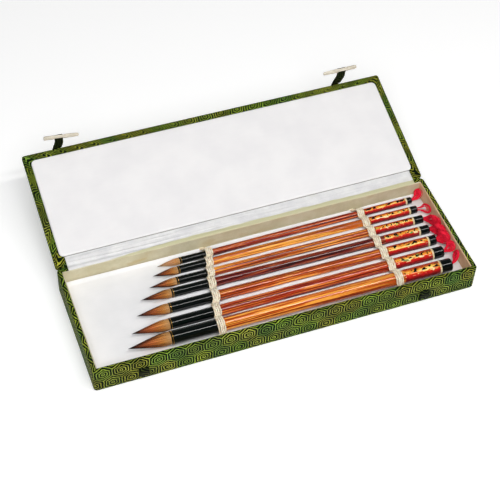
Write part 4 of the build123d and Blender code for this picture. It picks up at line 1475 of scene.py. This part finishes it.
def make_strap(side):
    """A folded and stitched brocade band from the lid to the toggle's bar, where it turns back on itself."""
    fold, bar, along_bar = strap_frame(side)
    level = Vector((0, bar.y - fold.y, bar.z - fold.z))
    down = level.normalized()
    out = Vector((0, down.z, -down.y))
    if out.y > 0:
        out = -out
    eye, length = 1.72 * MM, level.length
    tail = closed_box("strap_anchors")[1].y - fold.y
    route = [Vector((0, fold.y + back, fold.z + up))
             for back, up in ((tail, 0.1 * MM), (0.5 * tail, 0.1 * MM), (1.6 * MM, 0.1 * MM), (0.0, 0.0))]
    bow = 0.05 * length
    route += [fold + down * length * s + out * (0.15 * MM + bow * math.sin(math.pi * s)) for s in (0.2, 0.45)]
    route += [bar - down * 4.2 * MM + out * 0.7 * MM]
    for angle in (25, 70, 115, 160, 205, 250, 295, 335):
        a = math.radians(angle)
        route.append(bar - down * eye * math.cos(a) + out * eye * math.sin(a))
    route += [bar - down * 4.4 * MM - out * 0.55 * MM, fold + down * length * 0.5 - out * 0.5 * MM,
              fold + down * length * 0.25 - out * 0.45 * MM]
    line = smooth_profile([(p.y, p.z) for p in route], 6)
    seed = 1.0 if side == "left" else 5.0
    sheet = ribbon(line, -STRAP_WIDTH / 2, STRAP_WIDTH / 2, 0.5 * MM, 12,
                   lambda x, along, total: unevenness((x, along, 0), 5 * MM, 0.12 * MM, seed))
    slant, tilt = bar.x - fold.x, along_bar.y / along_bar.x
    neck = 5.0 * MM
    for point in sheet.points:
        down_it = max(0.0, (Vector((0, point.y, point.z)) - Vector((0, fold.y, fold.z))).dot(down))
        share = min(1.0, down_it / (length - neck))
        across = point.x
        point.x += fold.x + slant * smooth_step(share, 0.0, 1.0)
        point += down * (-tilt) * across * share * 0.9
    # the strap takes the dimmed brocade, which paints the shade on it
    strap = sheet.build(f"{side}_strap_band", [SHADED_BROCADE], None, "brocade", [f"strap_{side}"], LID_OPEN)
    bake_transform(strap)
    make_stitches(side, fold, down, out, length, slant)
    return strap


def make_stitches(side, fold, down, out, length, slant):
    """Two rows of small stitches that hold the strap's folded end."""
    sheet = Sheet()
    for edge in (-1, 1):
        for k in range(6):
            share = 0.30 + 0.075 * k
            aside = slant * smooth_step(share, 0.0, 1.0) + edge * (STRAP_WIDTH / 2 - 1.1 * MM)
            middle = Vector((fold.x + aside, fold.y, fold.z)) + down * length * share
            half_stitch = down * 0.45 * MM
            lift = out * (0.62 * MM + 0.05 * length * math.sin(math.pi * share))
            line = [middle + half_stitch * along + lift * raised
                    for along, raised in ((-1, 0.7), (-0.5, 1), (0.5, 1), (1, 0.7))]
            add_thread(sheet, line, 0.11 * MM, 6)
    return sheet.build(f"{side}_strap_stitches", [YARNS[1]], f"{side}_strap", "string", (), LID_OPEN)


# Stations along a toggle in millimetres, each with a share: of the full section at the rounded ends, of the
# step down to the bar at the head's shoulder, and of the step up from it at the pin's
HEAD_END = ((0.0, 0.55), (0.15, 0.75), (0.45, 0.9), (0.9, 0.97), (1.5, 1.0), (2.6, 1.0), (2.8, 0.93),
            (3.0, 0.93), (3.2, 1.0), (4.2, 1.0), (4.4, 0.94), (4.6, 0.94), (4.8, 1.0))
HEAD_SHOULDER = ((-1.0, 0.0), (-0.5, 0.06), (-0.15, 0.25), (0.05, 0.8), (0.25, 1.0))
PIN_SHOULDER = ((-0.25, 0.0), (-0.05, 0.2), (0.15, 0.75), (0.5, 0.94), (1.0, 1.0))
PIN_END = ((1.0, 0.97), (0.5, 0.88), (0.15, 0.7), (0.0, 0.45))


def toggle_section(x, front, back, thick, squareness):
    """A ring across a toggle, an ellipse at squareness 2 and nearer to a rectangle above it."""
    ring = []
    for k in range(TOGGLE_SIDES):
        a = 2 * math.pi * k / TOGGLE_SIDES
        c, s = (math.copysign(abs(part) ** (2 / squareness), part) for part in (math.cos(a), math.sin(a)))
        ring.append((x, (front + back) / 2 + s * (back - front) / 2, c * thick / 2))
    return ring


def end_section(x, front, thick, share, squareness):
    """A section drawn in to a share of its size about its own middle."""
    middle = (TOGGLE_BACK + front) / 2
    return toggle_section(x, middle + (front - middle) * share, middle + (TOGGLE_BACK - middle) * share,
                          thick * share, squareness)


def toggle_peg():
    """The sections of a toggle's peg, from its head over the strap's bar to its pin's tip."""
    back, head, bar = TOGGLE_BACK, -HALF_SLOT, -TOGGLE_BACK
    peg = [end_section(head - HEAD_LENGTH + x * MM, HEAD_FRONT, HEAD_THICK, share, 5)
           for x, share in HEAD_END]
    peg += [toggle_section(head - 1.5 * MM, HEAD_FRONT, back, HEAD_THICK, 5)]
    peg += [toggle_section(head + x * MM, HEAD_FRONT + (bar - HEAD_FRONT) * drop, back,
                           HEAD_THICK + (BAR_THICK - HEAD_THICK) * drop, 5 - 2.6 * drop)
            for x, drop in HEAD_SHOULDER]
    peg += [toggle_section(x * MM, bar, back, BAR_THICK, 2.4) for x in (-2.0, 0.0, 2.0)]
    peg += [toggle_section(HALF_SLOT + x * MM, bar + (PIN_FRONT - bar) * rise, back,
                           BAR_THICK + (PIN_THICK - BAR_THICK) * rise, 2.4 + 2.0 * rise)
            for x, rise in PIN_SHOULDER]
    peg += [toggle_section(HALF_SLOT + PIN_LENGTH * share, PIN_FRONT + (TIP_FRONT - PIN_FRONT) * share, back,
                           PIN_THICK + (TIP_THICK - PIN_THICK) * share, 4)
            for share in (0.3, 0.6, 0.85)]
    return peg + [end_section(HALF_SLOT + PIN_LENGTH - x * MM, TIP_FRONT, TIP_THICK, share, 3)
                  for x, share in PIN_END]


def toggle_bridge():
    """The sections of the bridge in front of a toggle's slot, a little thinner in its middle."""
    bridge = []
    for share in spaced(-1, 1, 8):
        thin = 0.12 * MM * (1 - share * share)
        bridge.append(toggle_section(share * (HALF_SLOT + 1.0 * MM), PIN_FRONT + thin, BRIDGE_BACK,
                                     BRIDGE_THICK - thin, 4))
    return bridge


def make_toggle(side):
    """A bone peg: a tall head and a tapered pin, joined behind by the bar and in front by the bridge."""
    fold, bar, along_bar = strap_frame(side)
    sheet = Sheet()
    for sections in (toggle_peg(), toggle_bridge()):
        places = [[(ring[0][0], 0.6 * MM * k) for k in range(TOGGLE_SIDES + 1)] for ring in sections]
        index = sheet.add_grid(sections, places, closed=True)
        sheet.add_end(index[0])
        sheet.add_end(index[-1])
    inward = Matrix.Identity(4) if side == "left" else Matrix.Scale(-1, 4, Vector((1, 0, 0)))
    across = Vector((0, fold.y - bar.y, fold.z - bar.z)).normalized()
    across = (across - along_bar * across.dot(along_bar)).normalized()
    as_bent = Matrix((along_bar, across, along_bar.cross(across))).transposed().to_4x4()
    place = LID_OPEN @ Matrix.Translation(bar) @ as_bent @ Matrix.Rotation(TOGGLE_TURN, 4, "X") @ inward
    return sheet.build(f"{side}_bone_toggle", [BONE], f"{side}_toggle", "bone", [f"toggle_{side}"], place)


def make_toggle_loops():
    low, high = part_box("toggle_loops")
    middle, half, proud = (low.z + high.z) / 2, (high.z - low.z) / 2, high.y - low.y
    route = [(high.y - 0.1 * MM, middle + half * 0.98), (high.y - proud * 0.3, middle + half * 0.86),
             (high.y - proud * 0.95, middle + half * 0.5), (low.y, middle + 0.5 * MM),
             (high.y - proud * 0.98, middle - half * 0.45), (high.y - proud * 0.35, middle - half * 0.85),
             (high.y - 0.1 * MM, middle - half * 0.98)]
    line = smooth_profile(route, 6)
    for side, sign, centre in (("left", -1, low.x + 4.25 * MM), ("right", 1, high.x - 4.25 * MM)):
        sheet = ribbon(line, centre - 4.2 * MM, centre + 4.2 * MM, -0.7 * MM, 10,
                       lambda x, along, total: unevenness((x, along, 0), 4 * MM, 0.15 * MM, sign))
        nodes = ["toggle_loops"] if side == "left" else []
        # the loops take the dimmed brocade, which paints the shade in and round them
        sheet.build(f"{side}_toggle_loop", [SHADED_BROCADE], "tray", "brocade", nodes)


def make_strap_patches():
    """The glued ends of the straps on the lid's outer face."""
    low, high = closed_box("strap_anchors")
    for side in ("left", "right"):
        centre = strap_frame(side)[0].x
        line = [(y, high.z) for y in spaced(high.y, low.y, 8)]
        sheet = ribbon(line, centre - STRAP_WIDTH / 2, centre + STRAP_WIDTH / 2, high.z - low.z, 8,
                       lambda x, along, total: -abs(unevenness((x, along, 0), 3 * MM, 0.12 * MM)))
        nodes = ["strap_anchors"] if side == "left" else []
        sheet.build(f"{side}_strap_patch", [SHADED_BROCADE], "lid", "brocade", nodes, LID_OPEN)


# ---- stage ----

def make_stage():
    mesh = bpy.data.meshes.new("floor")
    half = 6.0
    corners = [(-half, -half, 0), (half, -half, 0), (half, half, 0), (-half, half, 0)]
    mesh.from_pydata(corners, [], [(0, 1, 2, 3)])
    floor = add_object("floor", mesh)
    material, tree, inputs = new_material("studio_floor", 0.9, Specular_IOR_Level=0.0)
    inputs["Base Color"].default_value = (0.93, 0.93, 0.93, 1)
    inputs["Emission Color"].default_value = (1, 1, 1, 1)
    rays = node(tree, "ShaderNodeLightPath").outputs
    through = sums(tree, "MAXIMUM", rays["Is Glossy Ray"], rays["Is Transmission Ray"])
    seen = sums(tree, "MAXIMUM", rays["Is Camera Ray"], through)
    plug(tree, sums(tree, "MULTIPLY", seen, FLOOR_GLOW), inputs["Emission Strength"])
    mesh.materials.append(material)


def make_lamp(name, place, sizes, power, colour, in_reflections=False):
    """A soft rectangular lamp turned to the box's middle, whose long side runs along the box."""
    light = bpy.data.lights.new(name, "AREA")
    light.shape = "RECTANGLE"
    light.size, light.size_y = sizes
    light.energy = power
    light.color = colour
    lamp = add_object(name, light)
    place = Vector(place)
    away = place.normalized()
    long_side = (Vector((1, 0, 0)) - away * away.x).normalized()
    turned = Matrix((long_side, away.cross(long_side), away)).transposed().to_4x4()
    lamp.matrix_world = Matrix.Translation(place) @ turned
    lamp.visible_glossy = in_reflections


def make_world():
    """A light tent: white at the level of the horizon, and dimmer overhead."""
    world = bpy.data.worlds.new("studio")
    bpy.context.scene.world = world
    world.use_nodes = True
    tree = world.node_tree
    background = tree.nodes["Background"]
    height = axes_of(tree, node(tree, "ShaderNodeTexCoord").outputs["Generated"])[2]
    background.inputs["Color"].default_value = (1, 1, 1, 1)
    plug(tree, smooth_range(tree, height, 0.08, 0.38, TENT_HORIZON, TENT_TOP), background.inputs["Strength"])


def make_camera():
    data = bpy.data.cameras.new("camera")
    data.lens = CAMERA_LENS
    data.sensor_width = 36.0
    camera = add_object("camera", data)
    level = math.cos(CAMERA_ELEVATION)
    back = Vector((math.sin(CAMERA_AZIMUTH) * level, -math.cos(CAMERA_AZIMUTH) * level,
                   math.sin(CAMERA_ELEVATION)))
    right = (-back).cross(Vector((0, 0, 1))).normalized()
    up = right.cross(-back)
    rolled_right = right * math.cos(CAMERA_ROLL) + up * math.sin(CAMERA_ROLL)
    rolled_up = up * math.cos(CAMERA_ROLL) - right * math.sin(CAMERA_ROLL)
    turned = Matrix((rolled_right, rolled_up, back)).transposed().to_4x4()
    camera.matrix_world = Matrix.Translation(CAMERA_TARGET + back * CAMERA_DISTANCE) @ turned
    bpy.context.scene.camera = camera


make_camera()
make_stage()
make_world()
make_lamp("key", (0.34, -0.46, 1.25), (1.3, 0.08), KEY_POWER, (1.0, 0.99, 0.97), in_reflections=True)
make_lamp("fill", (-0.3, -0.85, 1.05), (0.9, 0.6), FILL_POWER, (0.97, 0.985, 1.0))
make_lamp("top", (-0.1, 0.1, 1.5), (1.8, 1.4), TOP_POWER, (1.0, 1.0, 1.0))
make_boards()
make_tray_cover()
make_tray_lining()
make_bed()
for number in BRUSHES:
    make_brush(number)
make_string("string_left")
make_string("string_right")
make_lid_cover()
make_lid_pad()
make_label()
make_hinge_lining()
make_hinge_cloth()
for side in ("left", "right"):
    make_strap(side)
    make_toggle(side)
make_strap_patches()
make_toggle_loops()

bpy.context.scene.view_settings.view_transform = "Standard"
